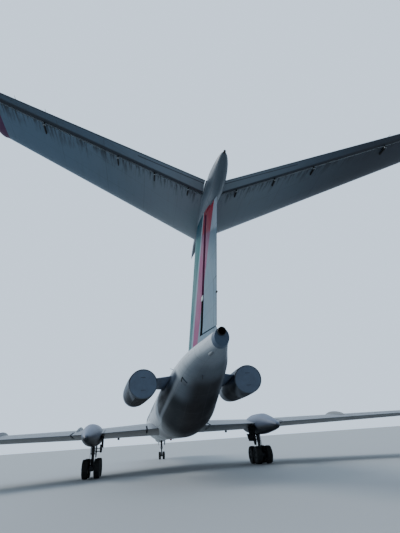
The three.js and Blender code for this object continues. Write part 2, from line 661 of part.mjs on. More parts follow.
// One of the two long doors beside the nose bay, hanging open from the bay's edge
const NOSE_DOOR = { x: 275, thickness: 24, low: 1210, high: 1920 };
function noseDoor() {
  const { front, back } = NOSE_BAY;
  const { x, thickness, low, high } = NOSE_DOOR;
  const plate = sidePrism([[front, high], [back, high], [back - 80, low], [front + 80, low]], x, x + thickness);
  return cut(plate, fuselageBetween(NOSE_BREAK, FRONT_BREAK + 500, FIT_GAP));
}

// The entry door is a panel as thick as the wall, in its place on the port side of the front section.
const DOOR = { front: 5150, back: 5870, sill: 2640, head: 4230, wall: 90 };
function wallSlab(inset) {
  const { front, back, sill, head, wall } = DOOR;
  const slab = box(-1600, -700, Y(back) + inset, Y(front) - inset, sill + inset, head - inset);
  return cut(slab, fuselageBetween(FRONT_BREAK - 200, CENTRE_BREAK, inset - wall));
}

// The body sections
function noseSection() {
  const bay = box(
    -NOSE_BAY.halfWidth, NOSE_BAY.halfWidth, Y(NOSE_BAY.back), Y(NOSE_BAY.front), 1200, NOSE_BAY.roof,
  );
  return cut(fuselageBetween(NOSE_BREAK + HALF_GAP, FRONT_BREAK - HALF_GAP), bay);
}

function frontSection() {
  const whole = fuselageBetween(FRONT_BREAK + HALF_GAP, CENTRE_BREAK - HALF_GAP);
  const pad = jackPad(0, JACK_PAD.noseStation, JACK_PAD.noseZ, 200);
  return cut(join(whole, pad), wallSlab(0));
}

function entryDoor() {
  return common(wallSlab(FIT_GAP), fuselageBetween(FRONT_BREAK - 200, CENTRE_BREAK));
}

function centreSection() {
  const wing = liftingSurface([[-HALF_GAP, ...ROOT_ROW.slice(1)], ...WING_ROWS.slice(1, 3)], lyingFlat, 0, 1, FIT_GAP);
  const whole = fuselageBetween(CENTRE_BREAK + HALF_GAP, REAR_BREAK - HALF_GAP);
  return cut(whole, wing, mirrored(wing));
}

const EXHAUST = { z: 4270, outer: 125, inner: 108, front: 32700, back: 33290, blind: 32800 };
function rearSection() {
  const whole = fuselageBetween(REAR_BREAK + HALF_GAP, TAIL_END);
  const radius = EXHAUST.outer + FIT_GAP;
  const pocket = bar([0, Y(EXHAUST.front) + FIT_GAP, EXHAUST.z], [0, Y(EXHAUST.back), EXHAUST.z], radius, 20);
  return cut(whole, pocket);
}

function tailExhaust() {
  const { z, outer, inner, front, back, blind } = EXHAUST;
  const rows = [[front, 0], [front, outer], [back, outer], [back, inner], [blind, inner], [blind, 0]];
  return turned(alongNacelle(rows), 20, 'y').translate(0, LENGTH / 2, z);
}

// The radome is a blister under the nose section: station, half width and depth of each outline.
const RADOME_ROWS = [
  [1080, 60, 40], [1250, 330, 200], [1650, 500, 330], [2250, 520, 350], [2750, 400, 260], [3100, 60, 40],
];
const RADOME_Z = 1780;
function chinRadome() {
  const outlines = RADOME_ROWS.map(([station, halfWidth, depth]) => (
    ellipse([station, halfWidth, RADOME_Z + depth, RADOME_Z - depth], 0, 0, 20)
  ));
  return cut(loft(outlines), fuselageBetween(NOSE_BREAK - 100, FRONT_BREAK, FIT_GAP));
}

// Colours and finishes
const finish = (color, roughness, metalness = 0) => new THREE.MeshStandardMaterial({ color, roughness, metalness });
const BODY_PAINT = finish(0xc9ced3, 0.5, 0.1);
const WING_METAL = finish(0xa9adb1, 0.45, 0.7);
const TAIL_PAINT = finish(0xd8dadc, 0.5);
const COVER_PAINT = finish(0x8d9aa6, 0.6);
const GEAR_STEEL = finish(0x5e6468, 0.5, 0.6);
const RUBBER = finish(0x1d1e20, 0.9);
const DARK_METAL = finish(0x3d3c3b, 0.6, 0.6);
const GLAZING = finish(0x4a5a66, 0.15);
const RADOME_PAINT = finish(0xb9bcb8, 0.6);

const airliner = new THREE.Group();

function addPiece(name, geometry, material) {
  const mesh = new THREE.Mesh(geometry, material);
  mesh.name = name;
  airliner.add(mesh);
  return mesh;
}

// Adds a starboard piece and its mirror image to port.
function addPair(name, geometry, material) {
  addPiece(`${name}_right`, geometry, material);
  addPiece(`${name}_left`, mirrored(geometry), material);
}

addPiece('nose_glazing', fuselageBetween(0, NOSE_BREAK - HALF_GAP), GLAZING);
addPiece('fuselage_nose', noseSection(), BODY_PAINT);
addPiece('fuselage_front', frontSection(), BODY_PAINT);
addPiece('fuselage_centre', centreSection(), BODY_PAINT);
addPiece('fuselage_rear', rearSection(), BODY_PAINT);
addPiece('entry_door', entryDoor(), BODY_PAINT);
addPiece('chin_radome', chinRadome(), RADOME_PAINT);
addPiece('tail_exhaust', tailExhaust(), DARK_METAL);

addPair('wing', wingHalf(), WING_METAL);
for (const [name, control] of Object.entries(WING_CONTROLS)) {
  addPair(name, controlSurface(WING_ROWS, control, lyingFlat), WING_METAL);
}

addPiece('fin', fin(), TAIL_PAINT);
addPiece('rudder', rudder(), TAIL_PAINT);
addPiece('tail_bullet', bullet(), TAIL_PAINT);
addPair('stabiliser', stabiliserHalf(), WING_METAL);
addPair('elevator', controlSurface(STABILISER_ROWS, ELEVATOR, lyingFlat), WING_METAL);

addPair('pylon', pylon(), BODY_PAINT);
addPair('nacelle', nacelle(), BODY_PAINT);
addPair('engine', engineBlock(), DARK_METAL);
addPair('fan', fan(), DARK_METAL);
addPair('exhaust_cover', exhaustCover(), COVER_PAINT);

addPair('gear_pod', gearPod(), WING_METAL);
addPair('main_leg', mainLeg(), GEAR_STEEL);
addPair('leg_door', legDoor(), WING_METAL);
addPair('bogie', bogieBeam(), GEAR_STEEL);
const mainWheels = wheelPair(MAIN_WHEEL);
for (const [place, way] of [['front', -1], ['rear', 1]]) {
  const station = GEAR_STATION + way * BOGIE_HALF_BASE;
  for (const [side, x] of [['right', GEAR_X], ['left', -GEAR_X]]) {
    const pair = addPiece(`main_wheels_${place}_${side}`, mainWheels.clone(), RUBBER);
    pair.position.set(x, Y(station), MAIN_WHEEL.radius);
  }
}

addPiece('nose_leg', noseLeg(), GEAR_STEEL);
addPiece('nose_steering', noseSteering(), GEAR_STEEL);
const noseWheels = addPiece('nose_wheels', wheelPair(NOSE_WHEEL), RUBBER);
noseWheels.position.set(0, Y(NOSE_GEAR_STATION), NOSE_WHEEL.radius);
addPair('nose_door', noseDoor(), BODY_PAINT);

export default airliner;
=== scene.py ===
# %% [markdown]
# # A parked airliner with a T tail
#
# The frame holds the exact solids of a full size airliner: a 24-sided body, flat-sided wings, nacelles,
# gear. This lesson gives it the looks of the real one: smooth skins with seams and dirt, a glazed nose,
# windows, faded stripes, grimy gear. Every shape is worked out with numpy from a formula or a short
# table, in metres, in the frame's own axes: +X starboard, +Y to the nose, +Z up, ground at z = 0.

# %% Load the frame
import math

import bpy
import numpy as np
from mathutils import Matrix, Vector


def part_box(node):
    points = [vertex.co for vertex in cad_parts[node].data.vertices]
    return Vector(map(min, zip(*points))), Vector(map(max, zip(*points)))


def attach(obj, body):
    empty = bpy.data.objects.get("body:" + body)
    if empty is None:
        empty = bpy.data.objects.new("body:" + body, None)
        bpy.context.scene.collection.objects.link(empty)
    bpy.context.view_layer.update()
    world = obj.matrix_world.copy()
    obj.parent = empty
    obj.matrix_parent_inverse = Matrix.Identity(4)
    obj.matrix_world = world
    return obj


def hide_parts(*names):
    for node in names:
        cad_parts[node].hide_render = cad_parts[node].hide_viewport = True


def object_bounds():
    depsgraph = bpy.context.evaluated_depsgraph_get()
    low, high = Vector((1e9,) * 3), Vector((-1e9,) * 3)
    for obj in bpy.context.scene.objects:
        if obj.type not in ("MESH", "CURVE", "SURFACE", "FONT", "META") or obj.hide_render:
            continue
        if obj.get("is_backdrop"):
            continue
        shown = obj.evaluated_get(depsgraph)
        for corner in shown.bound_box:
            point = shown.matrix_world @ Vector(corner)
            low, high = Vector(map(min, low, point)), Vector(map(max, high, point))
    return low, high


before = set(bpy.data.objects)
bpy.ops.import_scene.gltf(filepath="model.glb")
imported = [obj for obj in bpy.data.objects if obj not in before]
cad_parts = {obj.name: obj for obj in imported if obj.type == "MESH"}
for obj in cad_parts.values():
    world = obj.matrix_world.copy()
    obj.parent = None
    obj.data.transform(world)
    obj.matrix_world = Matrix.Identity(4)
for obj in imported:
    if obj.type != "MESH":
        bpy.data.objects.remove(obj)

cad_box = [list(corner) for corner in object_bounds()]
NOSE_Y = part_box("nose_glazing")[1].y
print("the frame's box:", [[round(v, 3) for v in corner] for corner in cad_box])

# %% [markdown]
# ## Places and parts
#
# Along the body a place is a station: its distance behind the nose's tip. A part is a small bundle of
# arrays: points, quads, triangles and a guide. The guide gives each point two distances along the
# surface in metres, so that a material can draw seams that follow the skin.

# %% Stations, spreads and grids
def at(x, station, z):
    """Points [x, y, z] of stations; the arguments are numbers or arrays that fit together."""
    x, station, z = np.broadcast_arrays(x, station, z)
    return np.stack([x, NOSE_Y - station, z], axis=-1).astype(float)


def bundled(*values):
    """Arrays that fit together, side by side along a new last axis."""
    return np.stack(np.broadcast_arrays(*values), axis=-1)


def full_turn(count):
    """Even angles around a circle; the last one is a step short of the first."""
    return np.linspace(0, 2 * np.pi, count, endpoint=False)


def crowded(count):
    """Shares from 0 to 1, close together at both ends: (1 - cosine of an even angle) / 2."""
    return (1 - np.cos(np.linspace(0, np.pi, count))) / 2


def grid_faces(rows, columns, wrap_rows=False, wrap_columns=True):
    """Each face joins a grid point, the next in its row, and the two above them."""
    i = np.arange(rows if wrap_rows else rows - 1)
    j = np.arange(columns if wrap_columns else columns - 1)
    i, j = np.meshgrid(i, j, indexing="ij")
    up, right = (i + 1) % rows, (j + 1) % columns
    corners = [i * columns + j, i * columns + right, up * columns + right, up * columns + j]
    return np.stack(corners, axis=-1).reshape(-1, 4)


# %% Parts: turning faces out, joining and mirroring
NO_TRIS = np.zeros((0, 3), int)


def outward(part):
    """Adds up the signed volumes under the faces and turns them all where the sum is negative."""
    points, quads, tris, guide = part
    corners = points[np.vstack([quads[:, [0, 1, 2]], quads[:, [0, 2, 3]], tris])]
    total = np.einsum("ij,ij->", corners[:, 0], np.cross(corners[:, 1], corners[:, 2]))
    return part if total > 0 else (points, quads[:, ::-1], tris[:, ::-1], guide)


def joined(*parts):
    """One part of several: their points in a row, with the face numbers moved along."""
    starts = np.cumsum([0] + [len(part[0]) for part in parts])
    points = np.vstack([part[0] for part in parts])
    quads = np.vstack([part[1] + start for part, start in zip(parts, starts)])
    tris = np.vstack([part[2] + start for part, start in zip(parts, starts)])
    return points, quads, tris, np.vstack([part[3] for part in parts])


def mirrored(part):
    """The part on the other side of x = 0, with its faces turned back out."""
    points, quads, tris, guide = part
    return points * [-1, 1, 1], quads[:, ::-1], tris[:, ::-1], guide


# %% Parts: closed lofts and plates
def lofted(rings, guide=None, wrap_rows=False):
    """A closed solid through rings of points; each end is a fan of triangles about its middle."""
    rows, columns = rings.shape[:2]
    points = rings.reshape(-1, 3)
    marks = np.zeros((rows, columns, 2)) if guide is None else np.broadcast_to(guide, (rows, columns, 2))
    marks = marks.reshape(-1, 2)
    quads = grid_faces(rows, columns, wrap_rows)
    if wrap_rows:
        return outward((points, quads, NO_TRIS, marks))
    points = np.vstack([points, rings[[0, -1]].mean(axis=1)])
    marks = np.vstack([marks, marks[[0, -1]]])
    here = np.arange(columns)
    after = np.roll(here, -1)
    low = np.stack([np.full(columns, rows * columns), after, here], axis=1)
    high = np.stack([np.full(columns, rows * columns + 1), here, after], axis=1)
    high[:, 1:] += (rows - 1) * columns
    return outward((points, quads, np.vstack([low, high]), marks))


def plate(outer, inner, guide=None):
    """A closed plate between two grids of one size: both faces and a wall around the edge."""
    rows, columns = outer.shape[:2]
    number = np.arange(rows * columns).reshape(rows, columns)
    rim = np.concatenate([number[0, :-1], number[:-1, -1], number[-1, :0:-1], number[:0:-1, 0]])
    after = np.roll(rim, -1)
    count = rows * columns
    faces = grid_faces(rows, columns, wrap_columns=False)
    wall = np.stack([rim, rim + count, after + count, after], axis=1)
    points = np.vstack([outer.reshape(-1, 3), inner.reshape(-1, 3)])
    marks = np.zeros((2 * count, 2)) if guide is None else np.tile(np.reshape(guide, (-1, 2)), (2, 1))
    return outward((points, np.vstack([faces, faces[:, ::-1] + count, wall]), NO_TRIS, marks))


# %% [markdown]
# Rods, pipes and turned bodies are lofts too: circles carried along an axis or a path.

# %% Parts: turned bodies, rods, pipes and boxes
# For each axis: the directions at angle 0, at a quarter turn, and along it
AXES = {
    "x": ((0, 1, 0), (0, 0, 1), (1, 0, 0)),
    "y": ((1, 0, 0), (0, 0, 1), (0, -1, 0)),
    "z": ((1, 0, 0), (0, 1, 0), (0, 0, 1)),
}


def turned(profile, centre, axis="y", sides=64, wrap_rows=False):
    """Circles about an axis through centre, from rows of [distance along, radius]. Along y, the
    distance runs aft, as stations do."""
    along, radius = np.asarray(profile, float).T
    across, up, forward = (np.array(v, float) for v in AXES[axis])
    angle = full_turn(sides)
    circle = np.cos(angle)[:, None] * across + np.sin(angle)[:, None] * up
    rings = np.asarray(centre) + along[:, None, None] * forward + radius[:, None, None] * circle
    guide = bundled(along[:, None], angle * radius.max())
    return lofted(rings, guide, wrap_rows)


def pipe(path, radius, sides=12):
    """Circles across each point of a path; radius is a number or one for each point."""
    path = np.asarray(path, float)
    tangent = np.gradient(path, axis=0)
    tangent /= np.linalg.norm(tangent, axis=1, keepdims=True)
    spare = np.eye(3)[np.abs(tangent).sum(axis=0).argmin()]
    across = np.cross(tangent, spare)
    across /= np.linalg.norm(across, axis=1, keepdims=True)
    up = np.cross(tangent, across)
    angle = full_turn(sides)[:, None]
    circle = np.cos(angle) * across[:, None] + np.sin(angle) * up[:, None]
    return lofted(path[:, None] + np.reshape(radius, (-1, 1, 1)) * circle)


def rod(start, end, radius, sides=20, edge=0.004):
    """A straight bar whose two ends have a small chamfer."""
    start, end = np.array(start, float), np.array(end, float)
    length = np.linalg.norm(end - start)
    places = np.array([0, edge, length - edge, length]) / length
    radii = [radius - edge, radius, radius, radius - edge]
    return pipe(start + places[:, None] * (end - start), radii, sides)


def box(low, high):
    """A block between two corners."""
    (x0, y0, z0), (x1, y1, z1) = low, high
    outer = np.array([[[x0, y0, z1], [x1, y0, z1]], [[x0, y1, z1], [x1, y1, z1]]], float)
    return plate(outer, outer - [0, 0, z1 - z0])


def bent(points, steps=12):
    """A smooth path through a few points, as a chain of Catmull-Rom curves."""
    points = np.asarray(points, float)
    padded = np.vstack([2 * points[0] - points[1], points, 2 * points[-1] - points[-2]])
    a, b, c, d = (padded[i:len(padded) - 3 + i, None] for i in range(4))
    t = np.linspace(0, 1, steps, endpoint=False)[None, :, None]
    curve = 0.5 * (2 * b + (c - a) * t + (2 * a - 5 * b + 4 * c - d) * t**2
                   + (3 * b - a - 3 * c + d) * t**3)
    return np.vstack([curve.reshape(-1, 3), points[-1]])


# %% [markdown]
# ## From parts to pieces
#
# A piece is one Blender object. It rides on a body of the frame and can stand for solids of the frame,
# which are then hidden.

# %% Making a piece
def piece(name, parts, body="root", stands_for=(), sharp=34):
    """Puts parts with their materials, as (part, material), into one object with smooth shading and
    edges that are sharp above an angle in degrees."""
    materials = list(dict.fromkeys(material for _, material in parts))
    points, quads, tris, guide = joined(*(part for part, _ in parts))
    mesh = bpy.data.meshes.new(name)
    mesh.from_pydata(points.tolist(), [], quads.tolist() + tris.tolist())
    for material in materials:
        mesh.materials.append(material)
    numbers = [materials.index(material) for _, material in parts]
    index = [np.repeat(numbers, [len(part[kind]) for part, _ in parts]) for kind in (1, 2)]
    mesh.polygons.foreach_set("material_index", np.concatenate(index).astype(np.int32))
    skin = mesh.attributes.new("skin", "FLOAT_VECTOR", "POINT")
    vectors = np.column_stack([guide, np.zeros(len(guide))])
    skin.data.foreach_set("vector", vectors.astype(np.float32).ravel())
    mesh.shade_smooth()
    mesh.set_sharp_from_angle(angle=math.radians(sharp))
    made = bpy.data.objects.new(name, mesh)
    bpy.context.scene.collection.objects.link(made)
    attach(made, body)
    if stands_for:
        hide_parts(*stands_for)
    print(f"{name}: {2 * len(quads) + len(tris)} triangles on {body}")
    return made


SIDES = (("right", 1), ("left", -1))


def sided(parts, sign):
    """The parts as they are for starboard, and mirrored for port."""
    return parts if sign > 0 else [(mirrored(part), material) for part, material in parts]


def pair(name, parts, body=None, stands_for=None):
    """One piece on each side. The names of its body and of the solid it stands for end in the side."""
    for side, sign in SIDES:
        carrier = f"{body}_{side}" if body else "root"
        solids = [f"{stands_for}_{side}"] if stands_for else ()
        piece(f"{name}_{side}", sided(parts, sign), carrier, solids)


# %% [markdown]
# ## Colours and nodes
#
# Colours are sRGB hex values, as on a paint chart. Blender's shaders want linear light, so one function
# converts them. One other adds a node, sets it up and returns the output socket that comes next.

# %% Colour and node helpers
def colour(code):
    """The linear colour of an sRGB hex value."""
    srgb = np.array([int(code[i:i + 2], 16) for i in (1, 3, 5)]) / 255
    linear = np.where(srgb <= 0.04045, srgb / 12.92, ((srgb + 0.055) / 1.055) ** 2.4)
    return (*linear.tolist(), 1.0)


def add(tree, kind, inputs=None, out=None, **settings):
    """Adds a shader node, fills or links its inputs by name or in order, and returns one of its outputs.
    A Map Range's order is value, from min, from max, to min, to max."""
    node = tree.nodes.new("ShaderNode" + kind)
    for key, value in settings.items():
        setattr(node, key, value)
    for key, value in enumerate(inputs) if isinstance(inputs, list) else (inputs or {}).items():
        live = [socket for socket in node.inputs if socket.enabled]
        socket = live[key] if isinstance(key, int) else next(s for s in live if s.name == key)
        if isinstance(value, bpy.types.NodeSocket):
            tree.links.new(value, socket)
        else:
            socket.default_value = value
    outputs = [socket for socket in node.outputs if socket.enabled]
    return next((s for s in outputs if s.name == out), outputs[0]) if outputs else node


def new_material(name):
    """An empty material and its tree."""
    material = bpy.data.materials.new(name)
    material.use_nodes = True
    material.node_tree.nodes.clear()
    return material, material.node_tree


def readings(tree):
    """What a layer can follow: the place in metres, the part's guide, and the normal."""
    place = add(tree, "TexCoord", out="Object")
    skin = add(tree, "Attribute", out="Vector", attribute_name="skin")
    return place, skin, add(tree, "NewGeometry", out="Normal")


def surface(tree, **inputs):
    """Ends a tree with a Principled shader; an input's name has _ for each space."""
    named = {key.replace("_", " "): value for key, value in inputs.items()}
    shader = add(tree, "BsdfPrincipled", named)
    add(tree, "OutputMaterial", {"Surface": shader})


# %% [markdown]
# ## The painted skin
#
# The body is aluminium sheet under polyurethane enamel. An image could hold its marks; layers of nodes
# can follow a height, a station or the way a face looks.

# %% Layers: fades, patches and coats
def fade(tree, place, axis, start, end):
    """Along one axis of a vector: 0 at start, 1 at end, smooth in between."""
    parts = add(tree, "SeparateXYZ", {"Vector": place}).node.outputs
    return add(tree, "MapRange", [parts[axis], start, end], interpolation_type="SMOOTHSTEP")


def aft(tree, place, start, end):
    """A fade between two stations."""
    return fade(tree, place, 1, NOSE_Y - start, NOSE_Y - end)


def patches(tree, place, stretch, low, high, detail=6.0):
    """Irregular spots from 0 to 1: noise with its own number of spots a metre along each axis, cut
    between a low and a high level."""
    mapped = add(tree, "Mapping", {"Vector": place, "Scale": stretch})
    value = add(tree, "TexNoise", {
        "Vector": mapped, "Scale": 1.0, "Detail": detail, "Roughness": 0.62}, out="Fac")
    return add(tree, "MapRange", [value, low, high])


def coat(tree, base, over, strength, *masks):
    """A colour laid over the base; it covers as much as strength times all the masks."""
    cover = strength
    for mask in masks:
        cover = add(tree, "Math", [mask, cover], operation="MULTIPLY")
    over = colour(over) if isinstance(over, str) else over
    return add(tree, "Mix", {"Factor": cover, "A": base, "B": over}, data_type="RGBA")


# %% Sheets and seams
def seam_lines(tree, skin, spacing, width):
    """1 on thin lines at every spacing metres of the guide, along and around; 0 elsewhere."""
    parts = add(tree, "SeparateXYZ", {"Vector": skin}).node
    masks = []
    for axis, step in enumerate(spacing):
        wave = add(tree, "Math", [parts.outputs[axis], step / 2], operation="PINGPONG")
        masks.append(add(tree, "MapRange", [wave, width * 0.4, width, 1.0, 0.0]))
    return add(tree, "Math", masks, operation="MAXIMUM")


def sheet_tones(tree, skin, spacing):
    """A random number for each sheet of the skin."""
    cell = add(tree, "VectorMath", {0: skin, 1: (*spacing, 1.0)}, operation="SNAP")
    return add(tree, "TexWhiteNoise", {"Vector": cell}, out="Value")


def seam_bump(tree, seams):
    """A normal that sinks a few millimetres into the seams."""
    height = add(tree, "Math", [seams, -1.0], operation="MULTIPLY")
    return add(tree, "Bump", {"Height": height, "Strength": 0.25, "Distance": 0.004})


# %% [markdown]
# The enamel has a satin gloss, dull where it has chalked. Four things show its age: each sheet, about
# 1.5 m long, has its own tone, seams hold dirt, rain has drawn streaks down the sides, and the belly is
# dark with old oil. Each is one coat here. More coats are painted shade: on the tail's lower and
# starboard faces, on the flanks under the pylons, where soot lies too, and on the belly's lower faces.

# %% Body paint
SHEET = (1.5, 0.9)
SEAM_WIDTH = 0.014
# Stations between which each layer of the tail's dirt and painted shade fades in
TAIL_SHADE = (25.5, 29.0)
BEFORE_CONE = (31.7, 30.6)
PYLON_SHADOW_START = (23.9, 24.7)
PYLON_SHADOW_END = (29.5, 29.1)
BELLY_START = (21.0, 25.0)
BELLY_DARK = (28.4, 27.4)
BELLY_END = (30.4, 29.2)
# Heights of the pylons' painted shadow and soot, and the sloping line z + slope * y that parts it from
# the belly's dirt and painted shade
UNDER_PYLON = (4.0, 3.72)
LOW_SHADE = (3.66, 3.30)
SHADOW_EDGE_SLOPE = 0.207
SHADOW_ABOVE = (1.38, 1.48)
DIRT_AND_SHADE_BELOW = (1.32, 1.22)


def body_paint(name, code, shade_and_grime_code="#1c1a1d"):
    """Enamel on aluminium sheet with tones, seams, streaks, dirt below and painted shade."""
    material, tree = new_material(name)
    place, skin, normal = readings(tree)
    cloudy = patches(tree, place, (0.5, 0.35, 0.6), 0.42, 0.68)
    shown = coat(tree, colour(code), "#7f868a", 0.16, sheet_tones(tree, skin, SHEET))
    shown = coat(tree, shown, "#80868a", 0.22, cloudy)
    shown = coat(tree, shown, "#6a6a66", 0.3, patches(tree, skin, (7.0, 0.5, 1.0), 0.5, 0.75))

    # Grime lies all along the belly, and faces that look down get painted shade too. The tail gets painted
    # shade below and on its starboard flank, as if lit from port, and is darkest just ahead of the cone
    broken = patches(tree, place, (1.3, 0.5, 1.3), 0.25, 0.6, detail=7.0)
    shown = coat(tree, shown, "#55504b", 0.45, broken, fade(tree, normal, 2, -0.35, -0.95))
    tail = aft(tree, place, *TAIL_SHADE)
    lower, inboard = fade(tree, normal, 2, 0.45, -0.35), fade(tree, normal, 0, -0.95, -0.45)
    shown = coat(tree, shown, "#6b7681", 0.72, tail, lower, inboard)
    shown = coat(tree, shown, "#3f4b58", 0.45, tail, fade(tree, normal, 0, 0.1, 0.8))
    before_cone = aft(tree, place, *BEFORE_CONE)
    shown = coat(tree, shown, "#262f39", 0.56, tail, before_cone, fade(tree, normal, 0, -0.62, -0.1))

    # The pylons' painted shadow, with soot, on the flanks below them; painted shade makes it blackest low
    # down. Its lower edge climbs towards the tail; a lighter streak lies under it, and then the belly's
    # dirt and painted shade
    parts = add(tree, "SeparateXYZ", {"Vector": place}).node.outputs
    climb = add(tree, "Math", [parts["Y"], SHADOW_EDGE_SLOPE, parts["Z"]], operation="MULTIPLY_ADD")
    above, below = (add(tree, "MapRange", [climb, *ends]) for ends in (SHADOW_ABOVE, DIRT_AND_SHADE_BELOW))
    start, end = aft(tree, place, *PYLON_SHADOW_START), aft(tree, place, *PYLON_SHADOW_END)
    under_pylon = fade(tree, place, 2, *UNDER_PYLON)
    shown = coat(tree, shown, "#4d5660", 0.6, start, end, under_pylon)
    shown = coat(tree, shown, "#364150", 0.9, start, end, under_pylon, above)
    shown = coat(tree, shown, "#07090d", 0.95, start, end, above, fade(tree, place, 2, *LOW_SHADE))
    belly = aft(tree, place, *BELLY_START)
    # Dirt and painted shade: the belly blackest below the sloping line
    shown = coat(tree, shown, "#14171b", 0.85, belly, below, aft(tree, place, *BELLY_DARK))
    ahead = aft(tree, place, *BELLY_END)
    # Painted shade and grime on the belly's downward faces, where they don't look to port
    starboard, under = fade(tree, normal, 0, -0.5, -0.05), fade(tree, normal, 2, -0.6, -0.87)
    shown = coat(tree, shown, shade_and_grime_code, 0.92, belly, ahead, starboard, under)

    # The gloss is lowered where soot, grime and painted shade lie under the pylons and on the belly
    shadow_and_soot = add(tree, "Math", [start, above], operation="MULTIPLY")
    dirt_and_shade = add(tree, "Math", [belly, below], operation="MULTIPLY")
    dull = add(tree, "Math", [shadow_and_soot, dirt_and_shade], operation="MAXIMUM")
    gloss = add(tree, "MapRange", [dull, 0.0, 1.0, 0.5, 0.1])
    seams = seam_lines(tree, skin, SHEET, SEAM_WIDTH)
    shown = coat(tree, shown, "#4a4c4d", 0.45, seams)
    rough = add(tree, "MapRange", [cloudy, 0.0, 1.0, 0.42, 0.62])
    bump = seam_bump(tree, seams)
    surface(tree, Base_Color=shown, Roughness=rough, Specular_IOR_Level=gloss, Normal=bump)
    return material


# Satin enamel, chalked by the sun: a soft highlight that breaks at each seam
skin_paint = body_paint("satin_enamel_on_aluminium", "#c3c9cd")

# %% [markdown]
# Plain finishes need few nodes: a tone, some dirt and the right gloss. A comment says what each gives
# the eye.

# %% Plain finishes
def plain(name, code, roughness, metallic=0.0, dirt_code="#4a443e", dirt=0.35, scale=4.0, **more):
    """One colour with patches of dirt about 1/scale metres wide."""
    material, tree = new_material(name)
    place = add(tree, "TexCoord", out="Object")
    spots = patches(tree, place, (scale, scale, scale), 0.42, 0.72)
    shown = coat(tree, colour(code), dirt_code, dirt, spots)
    surface(tree, Base_Color=shown, Roughness=roughness, Metallic=metallic, **more)
    return material


# Alkyd enamel on sheet blanks, chalked: an even blue grey with a soft highlight
cover_paint = plain("alkyd_enamel_blue_grey", "#627083", 0.5, dirt=0.5, scale=2.2, dirt_code="#4b5665")
# Enamel on forged steel under grease and grime, darkened further as painted shade: dark, with a dull sheen
gear_paint = plain("grey_enamel_on_steel", "#2c3136", 0.5, dirt=0.6, scale=9.0, dirt_code="#211e1c")
# Hard chrome under old grease, darkened as painted shade: a dark mirror in patches
chrome = plain("greased_hard_chrome_with_painted_shade", "#383b3e", 0.32, metallic=1.0,
               dirt=0.6, scale=9.0, dirt_code="#191715")
# Moulded rubber with dust in its pores: nearly black, without a highlight
tyre_rubber = plain("tyre_rubber_dusty", "#1c1d1e", 0.85, dirt=0.5, scale=7.0, dirt_code="#3d3b37")
# Stainless steel browned by heat: a metal whose highlight is wide and warm
burnt_steel = plain("burnt_stainless_steel", "#3f3d3c", 0.48, metallic=0.7,
                    dirt=0.6, scale=6.0, dirt_code="#1c1a19")
# Rolled aluminium, never painted: pale, with a highlight that fine scratches blur
bare_metal = plain("bare_aluminium_lip", "#a8adb0", 0.34, metallic=0.9,
                   dirt=0.3, scale=5.0, dirt_code="#5e6163")
# Seals, soot and old grime swallow the light. The black one also stands for painted shade in the open
# panel and under the vent's flap
sealant = plain("black_rubber_seal", "#1b1c1d", 0.8, dirt=0.2)
soot_and_shade_black = plain("soot_black_and_painted_shade", "#141415", 0.9, dirt=0.1)
# Paint that radar passes through has no metal in it: pale and matt
radome_paint = plain("matt_radome_paint", "#aeb2b1", 0.6, dirt=0.35, scale=2.5, dirt_code="#6c6a64")
# Enamel beside the exhaust, blued in patches
cap_paint = plain("heat_stained_enamel", "#46586c", 0.5, dirt=0.6, scale=3.0, dirt_code="#2c3847")
# Glass before a dark cabin: black, with a sharp highlight under a film of dust
glass = plain("dusty_glass", "#10171c", 0.12, dirt=0.35, scale=3.0, dirt_code="#4c5358", Coat_Weight=0.6)

# %% [markdown]
# ## The body
#
# The body is an ellipse carried along the stations. A short table gives its half width, top and belly.
# Between the rows runs a monotone cubic, so the skin is smooth and never swells past a row. The curve
# runs over the square root of the station, because a blunt nose widens with that root.

# %% The body's table and its smooth curve
BODY = np.array([
    [0.00, 0.090, 2.610, 2.430],
    [0.12, 0.330, 2.860, 2.210],
    [0.42, 0.600, 3.120, 2.010],
    [0.95, 0.860, 3.360, 1.850],
    [1.60, 1.080, 3.570, 1.740],
    [2.05, 1.180, 3.720, 1.700],
    [2.65, 1.290, 4.100, 1.660],
    [3.15, 1.355, 4.330, 1.640],
    [4.00, 1.425, 4.475, 1.625],
    [5.00, 1.450, 4.520, 1.620],
    [22.5, 1.450, 4.520, 1.620],
    [24.5, 1.385, 4.520, 1.810],
    [26.5, 1.200, 4.520, 2.310],
    [28.1, 1.090, 4.520, 2.890],
    [30.0, 0.865, 4.510, 3.420],
    [31.5, 0.550, 4.470, 3.720],
    [32.6, 0.320, 4.425, 3.800],
    [33.2, 0.215, 4.385, 3.850],
])
BODY_RADIUS = 1.45


def curve_through(xs, ys, where):
    """A cubic between the rows. Its slope at a row is the harmonic mean of the slopes beside it, or
    zero where they differ in sign, so it rises and falls only where the rows do."""
    step = np.diff(xs)
    slope = np.diff(ys) / step
    both = slope[1:] * slope[:-1]
    mean = np.where(both > 0, 2 * both / np.where(both > 0, slope[1:] + slope[:-1], 1), 0)
    tangent = np.concatenate([slope[:1], mean, slope[-1:]])
    k = np.clip(np.searchsorted(xs, where, side="right") - 1, 0, len(step) - 1)
    t = (where - xs[k]) / step[k]
    blend = 3 * t**2 - 2 * t**3
    curve = ys[k] * (1 - blend) + ys[k + 1] * blend
    return curve + step[k] * (tangent[k] * (t - 2 * t**2 + t**3) + tangent[k + 1] * (t**3 - t**2))


def body_size(station):
    """Half width, middle height and half height of the body at stations."""
    root = np.sqrt(np.clip(station, 0, None))
    width, top, belly = (curve_through(np.sqrt(BODY[:, 0]), BODY[:, i], root) for i in (1, 2, 3))
    return width, (top + belly) / 2, (top - belly) / 2


